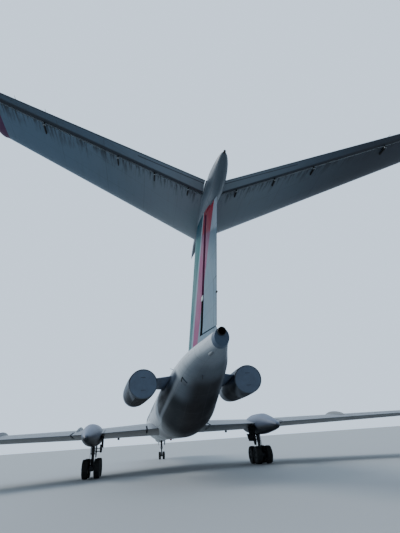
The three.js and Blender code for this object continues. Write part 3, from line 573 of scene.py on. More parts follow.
def body(station, angle, out=0.0):
    """The skin at stations and angles in radians (0 is starboard, a quarter turn is up), moved out
    along the ellipse's normal by out metres."""
    station, angle = np.broadcast_arrays(station, angle)
    width, middle, half = body_size(station)
    across, up = np.cos(angle) / width, np.sin(angle) / half
    length = np.hypot(across, up)
    x = width * np.cos(angle) + out * across / length
    z = middle + half * np.sin(angle) + out * up / length
    return at(x, station, z)


def body_guide(station, angle):
    """Distance along the body and around it, at its full width."""
    return bundled(station, angle * BODY_RADIUS)


def side_angle(z, station=10.0):
    """The angle of a height z on the starboard side."""
    _, middle, half = body_size(np.array(float(station)))
    return math.asin((z - float(middle)) / float(half))


# %% [markdown]
# The nose section has a bay for the nose gear. Around the bay the rings of the loft change shape: their
# lowest points leave the skin at the bay's edge, climb the wall and cross the roof.

# %% Body sections
AROUND = 96
FROM_BELOW = full_turn(AROUND) - np.pi / 2
BAY_POINTS = 8
NOSE_BAY = {"half": 0.27, "front": 3.45, "back": 4.70, "roof": 1.97}
POD_BAY = {"half": 0.28, "front": 19.70, "back": 20.60, "roof": 1.78}


def bay_ring(station, inside, bay, ring):
    """A ring of the skin that starts and ends at the bay's edges; inside the bay its bottom points
    form the pocket. ring(station, angle) gives the skin relative to the bay's middle line."""
    spread = np.linspace(-1, 1, BAY_POINTS)
    lowest = np.linspace(-np.pi * 0.75, -np.pi * 0.25, 400)
    edge = np.interp(bay["half"], ring(station, lowest)[:, 0], lowest)
    skin = ring(station, np.linspace(edge, 1.5 * np.pi - (edge + 0.5 * np.pi), AROUND))
    bottom = ring(station, -np.pi / 2 + spread * (edge + np.pi / 2))[1:-1]
    if inside:
        bottom[:, 0] = np.linspace(-bay["half"], bay["half"], BAY_POINTS - 2)
        bottom[:, 2] = bay["roof"]
    return np.vstack([skin, bottom])


def with_bay(stations, bay, ring):
    """Rings at the stations, doubled at the bay's two ends, where its end walls stand."""
    rows = [(s, bay["front"] < s < bay["back"]) for s in stations]
    rows += [(bay["front"], False), (bay["front"], True), (bay["back"], True), (bay["back"], False)]
    rows.sort(key=lambda row: (row[0], row[1] if row[0] <= bay["front"] else not row[1]))
    rings = np.array([bay_ring(s, inside, bay, ring) for s, inside in rows])
    return rings, np.array([s for s, _ in rows])[:, None], full_turn(rings.shape[1])


def body_section(first, last, step=0.25):
    """A plain length of the body, closed flat at both ends."""
    stations = np.linspace(first, last, max(3, round((last - first) / step)))[:, None]
    return lofted(body(stations, FROM_BELOW), body_guide(stations, FROM_BELOW))


nose_rings, nose_stations, nose_angles = with_bay(np.linspace(0.95, 5.0, 34), NOSE_BAY, body)
nose_part = lofted(nose_rings, body_guide(nose_stations, nose_angles))
piece("skin_nose", [(nose_part, skin_paint)], stands_for=["fuselage_nose"])
piece("skin_front", [(body_section(5.0, 12.4), skin_paint)], stands_for=["fuselage_front"])
piece("skin_centre", [(body_section(12.4, 22.5), skin_paint)], stands_for=["fuselage_centre"])

# %% [markdown]
# The tail cone ends in a dark metal face with the exhaust of the small engine near its top. Its rings go
# on past the face: from its outline to a circle, and from there into the cone, so the pipe is hollow.

# %% The tail cone and its exhaust
EXHAUST_Z = 4.27
EXHAUST_RADIUS = 0.125
TAIL_END = 33.2


def pocket(station, depth):
    """Two circles of the exhaust's pocket: its rim at a station, and its floor at a depth."""
    up = EXHAUST_Z + EXHAUST_RADIUS * np.sin(FROM_BELOW)
    rim = at(EXHAUST_RADIUS * np.cos(FROM_BELOW), station, up)
    return [rim, rim + [0, depth, 0]]


def tail_cone():
    """The body's last length, with a round pocket in its end face."""
    stations = np.linspace(22.5, TAIL_END, 46)[:, None]
    rings = np.concatenate([body(stations, FROM_BELOW), pocket(TAIL_END, 0.5)])
    along = np.concatenate([stations, [[TAIL_END], [TAIL_END]]])
    return lofted(rings, body_guide(along, FROM_BELOW))


def tail_cap():
    """The dark band around the end of the cone, with its end face."""
    stations = np.array([32.94, 32.95, 33.18, 33.2])[:, None]
    rings = body(stations, FROM_BELOW, np.array([[-0.004], [0.006], [0.008], [0.002]]))
    inner = body(stations[:1], FROM_BELOW, -0.03)
    return lofted(np.concatenate([rings, pocket(33.203, 0.1), inner]), wrap_rows=True)


def exhaust_pipe():
    """A thin pipe with a rolled lip, hollow to a blind end."""
    wall = [[32.8, 0.107], [33.27, 0.107], [33.285, 0.112], [33.29, 0.118], [33.28, 0.125], [32.8, 0.125]]
    return turned([[s - NOSE_Y, r] for s, r in wall], (0, 0, EXHAUST_Z), wrap_rows=True)


blind = turned([[32.79 - NOSE_Y, 0.12], [32.83 - NOSE_Y, 0.12]], (0, 0, EXHAUST_Z))
rear = [(tail_cone(), skin_paint), (tail_cap(), cap_paint)]
piece("skin_rear", rear, stands_for=["fuselage_rear"])
exhaust = [(exhaust_pipe(), burnt_steel), (blind, soot_and_shade_black)]
piece("small_engine_exhaust", exhaust, stands_for=["tail_exhaust"])

# %% [markdown]
# ## Panels that lie on the body
#
# Windows, doors and hatches are outlines wrapped on the skin: an outline in flat metres is turned into
# stations and angles. A panel is a closed plate with that outline, and a bezel is the ring around one.

# %% Outlines, panels and bezels
def rounded(width, height, corner, steps=6, spacing=0.09):
    """A rectangle whose four corners are quarter circles, as [along, around] points. Its sides are cut
    into even steps, so that a wrapped outline follows the curve of the body."""
    quarter = np.linspace(0, np.pi / 2, steps)
    centres = np.array([[1, 1], [-1, 1], [-1, -1], [1, -1]]) * [width / 2 - corner, height / 2 - corner]
    turns = quarter + np.arange(4)[:, None] * np.pi / 2
    arcs = corner * np.stack([np.cos(turns), np.sin(turns)], axis=-1)
    starts = (centres[:, None] + arcs).reshape(-1, 2)
    sides = np.roll(starts, -1, axis=0) - starts
    counts = np.ceil(np.linalg.norm(sides, axis=1) / spacing).astype(int)
    which = np.repeat(np.arange(len(starts)), counts)
    step = np.arange(len(which)) - np.repeat(np.cumsum(counts) - counts, counts)
    return starts[which] + (step / counts[which])[:, None] * sides[which]


def wrapped(station, angle, outline, out):
    """Outline points on the body about a station and an angle."""
    return body(station + outline[:, 0], angle + outline[:, 1] / BODY_RADIUS, out)


def panel(station, angle, outline, out=0.004, depth=0.02):
    """A closed plate: rings shrink from the outline to the middle, outside and then inside."""
    shares = np.array([0.03, 0.2, 0.4, 0.6, 0.8, 0.985, 1.0])
    outer = [wrapped(station, angle, outline * s, out - (0.002 if s == 1 else 0)) for s in shares]
    inner = [wrapped(station, angle, outline * s, out - depth) for s in shares[::-1]]
    return lofted(np.array(outer + inner))


def bezel(station, angle, outline, width, out=0.002, depth=0.02):
    """The closed ring of a given width around an outline."""
    grow = 1 + width / np.abs(outline).max(axis=0)
    rows = [(1, out), (1, out + 0.001), (grow, out + 0.001), (grow, out - depth), (1, out - depth)]
    rings = [wrapped(station, angle, outline * scale, o) for scale, o in rows]
    return lofted(np.array(rings), wrap_rows=True)


def on_port(angle):
    """The angle at the same height on the port side."""
    return math.pi - angle


# %% [markdown]
# The nose is a glazed room for the navigator: panes in a light frame of meridians and hoops.

# %% The glazed nose
GLAZING_END = 0.95
RIB_WIDTH = 0.042
HOOPS = (0.10, 0.48, 0.93)
MERIDIANS = 12


def hoop(station, width, out=0.012, depth=0.02):
    """A band around the body."""
    rows = [(-0.5, -depth), (-0.5, out * 0.6), (-0.35, out), (0.35, out), (0.5, out * 0.6), (0.5, -depth)]
    rings = [body(station + k * width, full_turn(AROUND), o) for k, o in rows]
    return lofted(np.array(rings), wrap_rows=True)


def meridian(angle, first, last, width=RIB_WIDTH, out=0.011):
    """A rib of even width along the body at one angle."""
    stations = np.linspace(first, last, 14)[:, None]
    reach = width / 2 / body_size(stations)[0]
    angles = angle + np.array([[-1.0, -0.6, 0.6, 1.0]]) * reach
    heights = np.array([[0.5, 1.0, 1.0, 0.5]]) * out
    return plate(body(stations, angles, heights), body(stations, angles, -0.02))


def glazed_nose():
    """The glass shell from the tip to the nose section."""
    stations = GLAZING_END * np.linspace(0, 1, 22)[:, None] ** 2
    angles = full_turn(AROUND)
    return lofted(body(stations, angles), body_guide(stations, angles))


frames = [hoop(station, RIB_WIDTH) for station in HOOPS]
for k, turn in enumerate(full_turn(MERIDIANS) + np.pi / MERIDIANS):
    frames.append(meridian(turn, 0.11 if k % 2 else 0.02, 0.92))
nose = [(glazed_nose(), glass), (joined(*frames), skin_paint)]
piece("nose_glass", nose, stands_for=["nose_glazing"])

# %% [markdown]
# The cockpit's panes follow the step of the nose. Each is a four-cornered patch of the skin, in a dark
# frame. The corners are stations and degrees on the starboard side, from the lower front one round.

# %% Cockpit windows
PANES = {
    "front": ((2.12, 88.0), (2.18, 64.5), (2.60, 67.5), (2.58, 88.0)),
    "corner": ((2.19, 62.0), (2.38, 42.5), (2.78, 52.5), (2.62, 65.0)),
    "side": ((2.42, 40.0), (2.88, 29.5), (3.02, 45.5), (2.83, 51.0)),
    "rear": ((2.93, 28.5), (3.28, 25.0), (3.30, 41.0), (3.07, 44.5)),
}


def four_cornered(corners, grow, out, depth):
    """A straight mix between four corners; grow moves the edges out by that many metres."""
    corners = np.array(corners) * [1, np.pi / 180]
    u, v = np.meshgrid(np.linspace(0, 1, 9), np.linspace(0, 1, 9))
    size = np.abs(corners[2] - corners[0]) * [1, BODY_RADIUS]
    u, v = (0.5 + (w - 0.5) * (1 + 2 * grow / size.max()) for w in (u, v))
    weights = ((1 - u) * (1 - v), u * (1 - v), u * v, (1 - u) * v)
    spot = sum(weight[..., None] * corner for weight, corner in zip(weights, corners))
    return plate(body(spot[..., 0], spot[..., 1], out), body(spot[..., 0], spot[..., 1], out - depth))


cockpit_panes = joined(*(four_cornered(corners, 0.0, 0.012, 0.03) for corners in PANES.values()))
cockpit_frames = joined(*(four_cornered(corners, 0.03, 0.006, 0.03) for corners in PANES.values()))
both = [(part, material) for one, material in ((cockpit_panes, glass), (cockpit_frames, sealant))
        for part in (one, mirrored(one))]
piece("cockpit_windows", both)

# %% [markdown]
# The cabin's windows are tall ovals, 0.75 m apart, with a bare metal rim. They could be cut into the
# body; glass a few millimetres proud leaves the skin whole.

# %% Cabin windows
WINDOW_Z = 3.42
WINDOW_PITCH = 0.75
WINDOW = rounded(0.26, 0.38, 0.125)
CABIN = (6.55, 22.0)
EXITS = (13.85, 15.35)

windows_along = [s for s in np.arange(CABIN[0], CABIN[1], WINDOW_PITCH)
                 if all(abs(s - exit_station) > 0.45 for exit_station in EXITS)]
window_angle = side_angle(WINDOW_Z)
panes, rims = [], []
for station in windows_along:
    for angle in (window_angle, on_port(window_angle)):
        panes.append(panel(station, angle, WINDOW, out=0.003, depth=0.02))
        rims.append(bezel(station, angle, WINDOW, 0.028, out=0.005))
piece("cabin_windows", [(joined(*panes), glass), (joined(*rims), bare_metal)])
print(len(windows_along), "windows a side")

# %% [markdown]
# Doors and hatches are plates in a dark rubber seal, a few millimetres proud. A table places them.

# %% Doors, exits and hatches
SEAL_WIDTH = 0.016
DOOR = {"front": 5.15, "back": 5.87, "sill": 2.64, "head": 4.23}
# Each hatch: station of its middle, height of its middle, sides, width, height
HATCHES = {
    "service_door": (5.60, 3.42, (1,), 0.70, 1.50),
    "exit_front": (EXITS[0], 3.40, (1, -1), 0.56, 0.90),
    "exit_rear": (EXITS[1], 3.40, (1, -1), 0.56, 0.90),
    "front_hold": (8.60, 2.42, (1,), 1.15, 0.85),
    "rear_hold": (21.60, 2.45, (1,), 0.95, 0.85),
}


def hatch(station, angle, width, height):
    """A door plate with its seal."""
    outline = rounded(width, height, 0.11)
    return panel(station, angle, outline, out=0.004), bezel(station, angle, outline, SEAL_WIDTH)


low_angle, high_angle = side_angle(DOOR["sill"]), side_angle(DOOR["head"])
door_size = (DOOR["back"] - DOOR["front"], (high_angle - low_angle) * BODY_RADIUS)
door_angle = on_port((low_angle + high_angle) / 2)
door, seal = hatch((DOOR["front"] + DOOR["back"]) / 2, door_angle, *door_size)
handle = panel(5.28, door_angle, rounded(0.16, 0.05, 0.02), out=0.012)
port_window = panel(5.52, on_port(window_angle), WINDOW, out=0.006)
piece("entry_door_panel", [(door, skin_paint), (seal, sealant), (handle, bare_metal), (port_window, glass)],
      stands_for=["entry_door"])
for name, (station, z, sides, width, height) in HATCHES.items():
    parts = []
    for side in sides:
        angle = side_angle(z) if side > 0 else on_port(side_angle(z))
        door, seal = hatch(station, angle, width, height)
        parts += [(door, skin_paint), (seal, sealant)]
        if name.startswith("exit"):
            parts.append((panel(station, angle + 0.02, WINDOW, out=0.006), glass))
    piece(name, parts)

# %% [markdown]
# Under the nose hangs the radar's dome, a blister of glass fibre. A stretched sphere would be too
# pointed, so each ring is an ellipse with its own width and depth from a table.

# %% Radome
RADOME = np.array([[1.08, 0.06, 0.04], [1.25, 0.33, 0.20], [1.65, 0.50, 0.33],
                   [2.25, 0.52, 0.35], [2.75, 0.40, 0.26], [3.10, 0.06, 0.04]])
RADOME_Z = 1.78
stations = np.linspace(RADOME[0, 0], RADOME[-1, 0], 40)
widths, depths = (curve_through(RADOME[:, 0], RADOME[:, i], stations)[:, None] for i in (1, 2))
angles = full_turn(64)
radome = lofted(at(widths * np.cos(angles), stations[:, None], RADOME_Z + depths * np.sin(angles)))
piece("radar_dome", [(radome, radome_paint)], stands_for=["chin_radome"])

# %% [markdown]
# ## Wings and tail surfaces
#
# A lifting surface is an aerofoil carried along the span. A table's rows give span, leading edge's
# station, chord, heights of both edges and thickness. The last interval is the tip, whose rows follow
# a quarter circle. The aerofoil's half thickness is the classic four digit formula.

# %% The aerofoil and its tables
WING_SWEEP = 0.767
ROOT = np.array([0.0, 12.85, 7.35, 2.42, 2.23, 0.86])
KINK = np.array([4.72, 12.85 + WING_SWEEP * 4.72, 5.05, 2.21, 2.095, 0.58])
TIP = np.array([14.5, 12.85 + WING_SWEEP * 14.5, 2.05, 2.07, 2.04, 0.21])


def between(low, high, span):
    """The row at a span between two rows."""
    return low + (high - low) * (span - low[0]) / (high[0] - low[0])


FILLET = np.array([0, -0.32, 0.42, 0, 0, 0])
TIP_END = np.array([14.5, TIP[1] + 0.26, 1.63, 2.058, 2.048, 0.06])
WING = np.array([ROOT, between(ROOT, KINK, 1.45) + FILLET, between(ROOT, KINK, 2.15), KINK,
                 between(KINK, TIP, 14.25), TIP_END])
STABILISER = np.array([[0.03, 30.327, 3.708, 8.88, 8.88, 0.339], [5.7, 35.470, 1.532, 8.92, 8.92, 0.133],
                       [5.9, 35.9, 1.2, 8.92, 8.92, 0.05]])
TRAILING_EDGE = 0.010


def aerofoil(share):
    """Half thickness at a share of the chord, as a share of the full thickness."""
    x = np.clip(share, 0, 1)
    return 5 * (0.2969 * np.sqrt(x) - 0.126 * x - 0.3516 * x**2 + 0.2843 * x**3 - 0.1015 * x**4)


def row_at(table, span, round_tip=True):
    """Leading station, chord, both heights and thickness at spans."""
    start, end = table[-2, 0], table[-1, 0]
    t = np.clip((span - start) / (end - start), 0, 1)
    if round_tip:
        span = np.where(span > start, start + (1 - np.sqrt(1 - t**2)) * (end - start), span)
    return [np.interp(span, table[:, 0], table[:, i])[..., None] for i in range(1, 6)]


def section(table, span):
    """The same five values at one span, as plain numbers."""
    return [float(column[0, 0]) for column in row_at(table, np.array([span]))]


def half_depth(thickness, share):
    """Half the depth of the section, with its blunt trailing edge."""
    return aerofoil(share) * thickness + share * TRAILING_EDGE / 2


def wing_rings(table, spans, first, last, count=20):
    """Rings [span, station, height] from the rear end of the section over the top and back below."""
    spans = np.asarray(spans, float)
    leading, chord, z_front, z_back, thickness = row_at(table, spans)
    spread = crowded(count)
    share = np.reshape(first, (-1, 1)) + (np.reshape(last, (-1, 1)) - np.reshape(first, (-1, 1))) * spread
    share = np.broadcast_to(share, (len(spans), count))
    middle = z_front + (z_back - z_front) * share
    depth = half_depth(thickness, share)
    station = leading + share * chord
    below = slice(1, None) if np.max(first) == 0 else slice(None)
    stations = np.concatenate([station[:, ::-1], station[:, below]], axis=1)
    heights = np.concatenate([(middle + depth)[:, ::-1], (middle - depth)[:, below]], axis=1)
    return at(spans[:, None], stations, heights), stations - leading


def wing_part(table, spans, first=0.0, last=1.0):
    """A closed length of a wing between chord shares."""
    rings, behind = wing_rings(table, spans, first, last)
    guide = bundled(np.asarray(spans)[:, None], behind)
    return lofted(rings, guide)


# %% [markdown]
# Flaps, ailerons and elevators lie in notches. The wing is built as lengths: full chord beside a notch,
# and up to the notch's front wall within one. A drop hinge is near the lower skin; the others turn about
# the middle of a round nose.

# %% Control surfaces and the lengths between them
END_GAP = 0.025
CONTROLS = {
    "flap_inner": {"from": 1.84, "to": 4.08, "share": 0.74, "drop": True, "gap": 0.095},
    "flap_outer": {"from": 5.74, "to": 9.09, "share": 0.74, "drop": True, "gap": 0.090},
    "aileron": {"from": 9.25, "to": 13.90, "share": 0.76, "drop": False, "gap": END_GAP},
}
ELEVATOR = {"from": 0.300, "to": 5.56, "share": 0.83, "drop": False, "gap": END_GAP}
FRONT_GAP = 0.030
NOSE_CLEARANCE = 0.014


def notch_share(table, control, spans):
    """Chord share of the notch's front wall, which is straight between the notch's two ends."""
    ends = np.array([control["from"] - control["gap"], control["to"] + END_GAP])
    leading, chord, _, _, thickness = (column[:, 0] for column in row_at(table, ends))
    gap = FRONT_GAP if control["drop"] else half_depth(thickness, control["share"]) + NOSE_CLEARANCE
    wall = np.interp(spans, ends, leading + control["share"] * chord - gap)
    leading, chord = (column[:, 0] for column in row_at(table, spans)[:2])
    return (wall - leading) / chord


def spans_of(table, start, end, step=0.6):
    """Evenly spread spans with the table's own rows, and close ones at the tip."""
    spans = np.linspace(start, end, max(2, round((end - start) / step) + 1))
    inside = table[(table[:, 0] > start) & (table[:, 0] < end), 0]
    tip = table[-2, 0] + (table[-1, 0] - table[-2, 0]) * np.sin(np.linspace(0, np.pi / 2, 10))
    tip = tip[(tip > start) & (tip < end)]
    return np.unique(np.concatenate([spans, inside, tip]).round(6))


def notched_wing(table, controls, start):
    """All lengths of a wing from its root to its tip."""
    parts = []
    for control in controls:
        low, high = control["from"] - control["gap"], control["to"] + END_GAP
        parts.append(wing_part(table, spans_of(table, start, low)))
        spans = spans_of(table, low, high)
        parts.append(wing_part(table, spans, last=notch_share(table, control, spans)))
        start = high
    parts.append(wing_part(table, spans_of(table, start, table[-1, 0])))
    return joined(*parts)


def moving_surface(table, control, nose_points=9):
    """A flap with a flat front, or a surface with a half round nose about its hinge."""
    spans = spans_of(table, control["from"], control["to"])
    if control["drop"]:
        return wing_part(table, spans, control["share"])
    rings, behind = wing_rings(table, spans, control["share"], 1.0)
    leading, chord, z_front, z_back, thickness = row_at(table, spans)
    share = control["share"]
    radius = half_depth(thickness, share)
    turn = np.linspace(0, np.pi, nose_points)[None, 1:-1]
    hinge = leading + share * chord
    middle = z_front + (z_back - z_front) * share
    nose = at(spans[:, None], hinge - radius * np.sin(turn), middle - radius * np.cos(turn))
    behind_nose = np.broadcast_to(share * chord, nose.shape[:2])
    rings = np.concatenate([rings, nose], axis=1)
    count = (rings.shape[1] - nose.shape[1]) // 2
    order = np.r_[0:count, count * 2 + np.arange(nose.shape[1])[::-1], count:count * 2]
    behind = np.concatenate([behind, behind_nose], axis=1)[:, order]
    guide = bundled(spans[:, None], behind)
    return lofted(rings[:, order], guide)


# %% [markdown]
# The wings are painted grey, and nearly black below: painted shade, with dirt. One colour with noise
# could do; with a layer for each kind of dirt, it lies where it gathers.

# %% Wing finishes
WING_SHEET = (1.1, 0.8)


def wing_coats(tree, code, under_shade_code):
    """The layers that all wings share. Returns the colour, the seams, the place and the guide."""
    place, skin, normal = readings(tree)
    shown = coat(tree, colour(code), "#6f767c", 0.18, sheet_tones(tree, skin, WING_SHEET))
    # Faces that look down are painted nearly black: painted shade
    shown = coat(tree, shown, under_shade_code, 1.0, fade(tree, normal, 2, 0.1, -0.4))
    shown = coat(tree, shown, "#656c73", 0.3, patches(tree, place, (0.7, 0.5, 0.7), 0.4, 0.7))
    shown = coat(tree, shown, "#565a5c", 0.3, patches(tree, skin, (9.0, 0.8, 1.0), 0.52, 0.72))
    seams = seam_lines(tree, skin, WING_SHEET, SEAM_WIDTH)
    return coat(tree, shown, "#464a4e", 0.4, seams), seams, place, skin


def wing_paint(name, code, under_shade_code):
    """Grey enamel on aluminium, with painted shade below."""
    material, tree = new_material(name)
    shown, seams, _, _ = wing_coats(tree, code, under_shade_code)
    surface(tree, Base_Color=shown, Roughness=0.42, Metallic=0.15, Normal=seam_bump(tree, seams))
    return material


wing_finish = wing_paint("painted_wing_aluminium", "#6c7179", "#14171b")

# %% [markdown]
# The tail plane's underside has the strongest marks: oil from the hinges has run forward in dark streaks,
# and the tips are red. An image could hold them; the part's guide is used, as the hinge line is straight
# in it.

# %% Tail finishes
RED_BEYOND = 5.66
TIP_RED = "#4c0c42"
# Distances from the middle between which the underside gets pale, dark or blue; the dark and the blue
# are painted shade
PALE_ROOT = (3.2, 0.6)
DARK_STARBOARD = (0.8, 4.8)
BLUE_PORT = (-1.6, -5.6)
# Depth ahead of the trailing edge and reach outwards of two dark lines: the edge and the tab's front
EDGE_LINES = ((0.01, 9.0), (0.14, 2.4))
# Distances ahead of the hinge between which the gap's shade fades in
FIXED_SHADE = (0.08, 0.01)
MOVING_SHADE = (-0.14, -0.08)


def hinge_line():
    """Slope and start of the elevator's hinge, as distance behind the leading edge over the span."""
    low, high = STABILISER[0], STABILISER[-2]
    slope = ELEVATOR["share"] * (high[2] - low[2]) / (high[0] - low[0])
    return slope, ELEVATOR["share"] * low[2] - slope * low[0]


def tail_paint(name, code, under_shade_code, shade_code, oiled):
    """Tail skin with red tips. A dark band lies along the hinge line, in the shade of the gap. Where the
    skin is oiled, runs start there and end at odd distances ahead of it."""
    material, tree = new_material(name)
    shown, seams, place, skin = wing_coats(tree, code, under_shade_code)
    across = add(tree, "SeparateXYZ", {"Vector": place}, out="X")
    outer = add(tree, "Math", {0: across}, operation="ABSOLUTE")
    below = fade(tree, add(tree, "NewGeometry", out="Normal"), 2, 0.1, -0.4)
    inner = add(tree, "MapRange", [outer, *PALE_ROOT])
    shown = coat(tree, shown, "#8a9296", 0.5, below, inner)
    # Painted shade: the starboard underside darker, the port one bluish
    shown = coat(tree, shown, "#1a202c", 0.9, below, fade(tree, place, 0, *DARK_STARBOARD))
    shown = coat(tree, shown, shade_code, 0.6, below, fade(tree, place, 0, *BLUE_PORT))

    slope, start = hinge_line()
    guide = add(tree, "SeparateXYZ", {"Vector": skin}).node.outputs
    line = add(tree, "Math", [guide["X"], slope, start], operation="MULTIPLY_ADD")
    ahead = add(tree, "Math", [line, guide["Y"]], operation="SUBTRACT")
    shade = add(tree, "MapRange", [ahead, *(FIXED_SHADE if oiled else MOVING_SHADE)])

    edge = add(tree, "Math", [line, ELEVATOR["share"]], operation="DIVIDE")
    to_edge = add(tree, "Math", [edge, guide["Y"]], operation="SUBTRACT")
    for depth, reach in EDGE_LINES:
        strip = add(tree, "Math", [to_edge, depth, 0.020], operation="COMPARE")
        within = add(tree, "Math", [outer, reach], operation="LESS_THAN")
        shown = coat(tree, shown, "#18202a", 0.7, below, strip, within)
    if oiled:
        reach = patches(tree, skin, (3.0, 0.01, 1.0), 0.35, 0.65, detail=4.0)
        limit = add(tree, "Math", [reach, 0.70, 0.22], operation="MULTIPLY_ADD")
        near = add(tree, "MapRange", [ahead, limit, 0.10])
        runs = patches(tree, skin, (15.0, 1.3, 1.0), 0.46, 0.58, detail=8.0)
        shown = coat(tree, shown, "#1f252b", 0.8, runs, near, below)
    shown = coat(tree, shown, "#121922", 0.9, shade, below)
    tip = add(tree, "Math", [outer, RED_BEYOND], operation="GREATER_THAN")
    shown = coat(tree, shown, TIP_RED, 0.92, tip)
    surface(tree, Base_Color=shown, Roughness=0.42, Metallic=0.15, Normal=seam_bump(tree, seams))
    return material


tail_finish = tail_paint("painted_tail_aluminium", "#a7b0b7", "#64737f", "#4c6880", oiled=True)
elevator_finish = tail_paint("painted_elevator_skin", "#a7b0b7", "#5a6e80", "#2b3b4a", oiled=False)

# %% [markdown]
# Two upright fences keep the air from sliding outwards over each swept wing. Each is a thin plate whose
# heights are worked out along the chord, so that its foot follows the skin. Its top is a low dome.

# %% Fences
FENCES = (5.60, 9.17)
FENCE_HEIGHT = 0.16
FENCE_SHARES = (0.06, 0.72)
FENCE_THICKNESS = 0.020


def fence(span):
    """A thin plate from the middle of the wing up to a low dome above its skin."""
    share = np.linspace(*FENCE_SHARES, 40)
    leading, chord, z_front, z_back, thickness = section(WING, span)
    middle = z_front + (z_back - z_front) * share
    top = middle + half_depth(thickness, share) + FENCE_HEIGHT * np.sin(np.linspace(0, np.pi, 40)) ** 0.5
    heights = (middle, (middle + top) / 2, top)
    grid = np.stack([at(span, leading + share * chord, height) for height in heights])
    return plate(grid + [FENCE_THICKNESS / 2, 0, 0], grid - [FENCE_THICKNESS / 2, 0, 0])


wing_lengths = notched_wing(WING, CONTROLS.values(), 0.0)
fences = joined(*(fence(span) for span in FENCES))
pair("wing_skin", [(wing_lengths, wing_finish), (fences, skin_paint)], stands_for="wing")
for name, control in CONTROLS.items():
    pair(f"{name}_skin", [(moving_surface(WING, control), wing_finish)], name, name)
stabiliser = notched_wing(STABILISER, [ELEVATOR], STABILISER[0, 0])
pair("stabiliser_skin", [(stabiliser, tail_finish)], stands_for="stabiliser")
elevator = moving_surface(STABILISER, ELEVATOR)
pair("elevator_skin", [(elevator, elevator_finish)], "elevator", "elevator")

# %% [markdown]
# ## Fin and rudder
#
# The fin is an aerofoil that stands up. Its rudder lies in a bay whose lower edge slopes down towards
# the tail, so the rings slope with it: each ring follows a line [height at station 30, slope].

# %% The fin's table and sloping rings
FIN_Z = np.array([4.22, 4.98, 8.78])
FIN_LEADING = np.array([25.30, 26.87, 30.74])
FIN_CHORD = np.array([7.16, 5.92, 3.715])
FIN_THICKNESS = np.array([0.54, 0.48, 0.36])
RUDDER_SHARE = 0.71
BAY_FRONT = ((4.82, 30.56), (8.46, 32.93))
FOOT_LINE = (4.22, 0.0)
BAY_FLOOR = (4.883, -0.1131)
RUDDER_FOOT = (4.928, -0.1139)
RUDDER_HEAD = (8.760, -0.1220)
BAY_ROOF = (8.502, -0.0254)
TOP_LINE = (8.78, 0.0)


def fin_place(low, high, climb, share):
    """Station, height and half thickness at a climb from 0 to 1 between two lines and a chord share.
    Height and station depend a little on each other, so both are worked out in eight rounds."""
    station = np.full(np.broadcast_shapes(np.shape(climb), np.shape(share)), 31.0)
    for _ in range(8):
        lower, upper = (line[0] + line[1] * (station - 30) for line in (low, high))
        z = lower + (upper - lower) * climb
        station = np.interp(z, FIN_Z, FIN_LEADING) + share * np.interp(z, FIN_Z, FIN_CHORD)
    return station, z, half_depth(np.interp(z, FIN_Z, FIN_THICKNESS), share)


def fin_ring(station, z, half):
    """Around the section: port side from the rear, then starboard back."""
    x = np.concatenate([-half[:, ::-1], half], axis=1)
    stations, heights = (np.concatenate([v[:, ::-1], v], axis=1) for v in (station, z))
    return at(x, stations, heights), np.stack([stations, heights], axis=-1)


def fin_length(low, high, last=1.0, rows=9, columns=26):
    """A length of the fin between two lines, up to a chord share."""
    climb = np.linspace(0, 1, rows)[:, None]
    share = last * crowded(columns)
    return lofted(*fin_ring(*fin_place(low, high, climb, share)))


def bay_share():
    """The chord share of the bay's front wall, as one number: the wall is nearly parallel to it."""
    (z0, s0), (z1, s1) = BAY_FRONT
    z, s = (z0 + z1) / 2, (s0 + s1) / 2
    return (s - np.interp(z, FIN_Z, FIN_LEADING)) / np.interp(z, FIN_Z, FIN_CHORD)


def rudder_part(rows=14, columns=16, nose_points=9):
    """The rudder: a half round nose about the hinge, then the aerofoil's rear end."""
    climb = np.linspace(0, 1, rows)[:, None]
    share = RUDDER_SHARE + (1 - RUDDER_SHARE) * np.linspace(0, 1, columns)
    station, z, half = fin_place(RUDDER_FOOT, RUDDER_HEAD, climb, share)
    turn = np.linspace(0, np.pi, nose_points)[1:-1]
    radius = half[:, :1]
    nose_x, nose_s = -radius * np.cos(turn), station[:, :1] - radius * np.sin(turn)
    nose_z = np.broadcast_to(z[:, :1], nose_x.shape)
    x = np.concatenate([-half[:, ::-1], nose_x, half], axis=1)
    stations = np.concatenate([station[:, ::-1], nose_s, station], axis=1)
    heights = np.concatenate([z[:, ::-1], nose_z, z], axis=1)
    return lofted(at(x, stations, heights), np.stack([stations, heights], axis=-1))


# %% [markdown]
# Bands of paint run down the fin and over the rudder. Rain and sun have faded them to pastel; high up,
# above a sloping line, they are deep. Each edge is a straight line, given as the station at 6.5 m and
# the slope; the deep colour ends along a line too.

# %% Fin paint
STRIPE_Z = 6.5
STRIPES = (
    ((30.50, 1.080), "#b4c0c8", "#7f93a0"),
    ((30.81, 0.990), "#a31c38", "#8b496d"),
)
TEAL = ("#0b5060", "#2c686a")
RUDDER_WHITE = ("#a9b4c0", "#6d8391")
RED_END = (32.06, 1.10)
DEEP_EDGE = (7.36, 0.386, 33.88)
TAB = (33.15, 0.438, 6.0)
TAB_LINE = 0.022


def side_of(tree, guide, line):
    """1 behind a sloping edge on the fin, 0 ahead of it, with a border of 2 cm."""
    station, slope = line
    offset = station - STRIPE_Z * slope
    edge = add(tree, "Math", [guide["Y"], slope, offset], operation="MULTIPLY_ADD")
    gap = add(tree, "Math", [guide["X"], edge], operation="SUBTRACT")
    return add(tree, "MapRange", [gap, -0.01, 0.01])


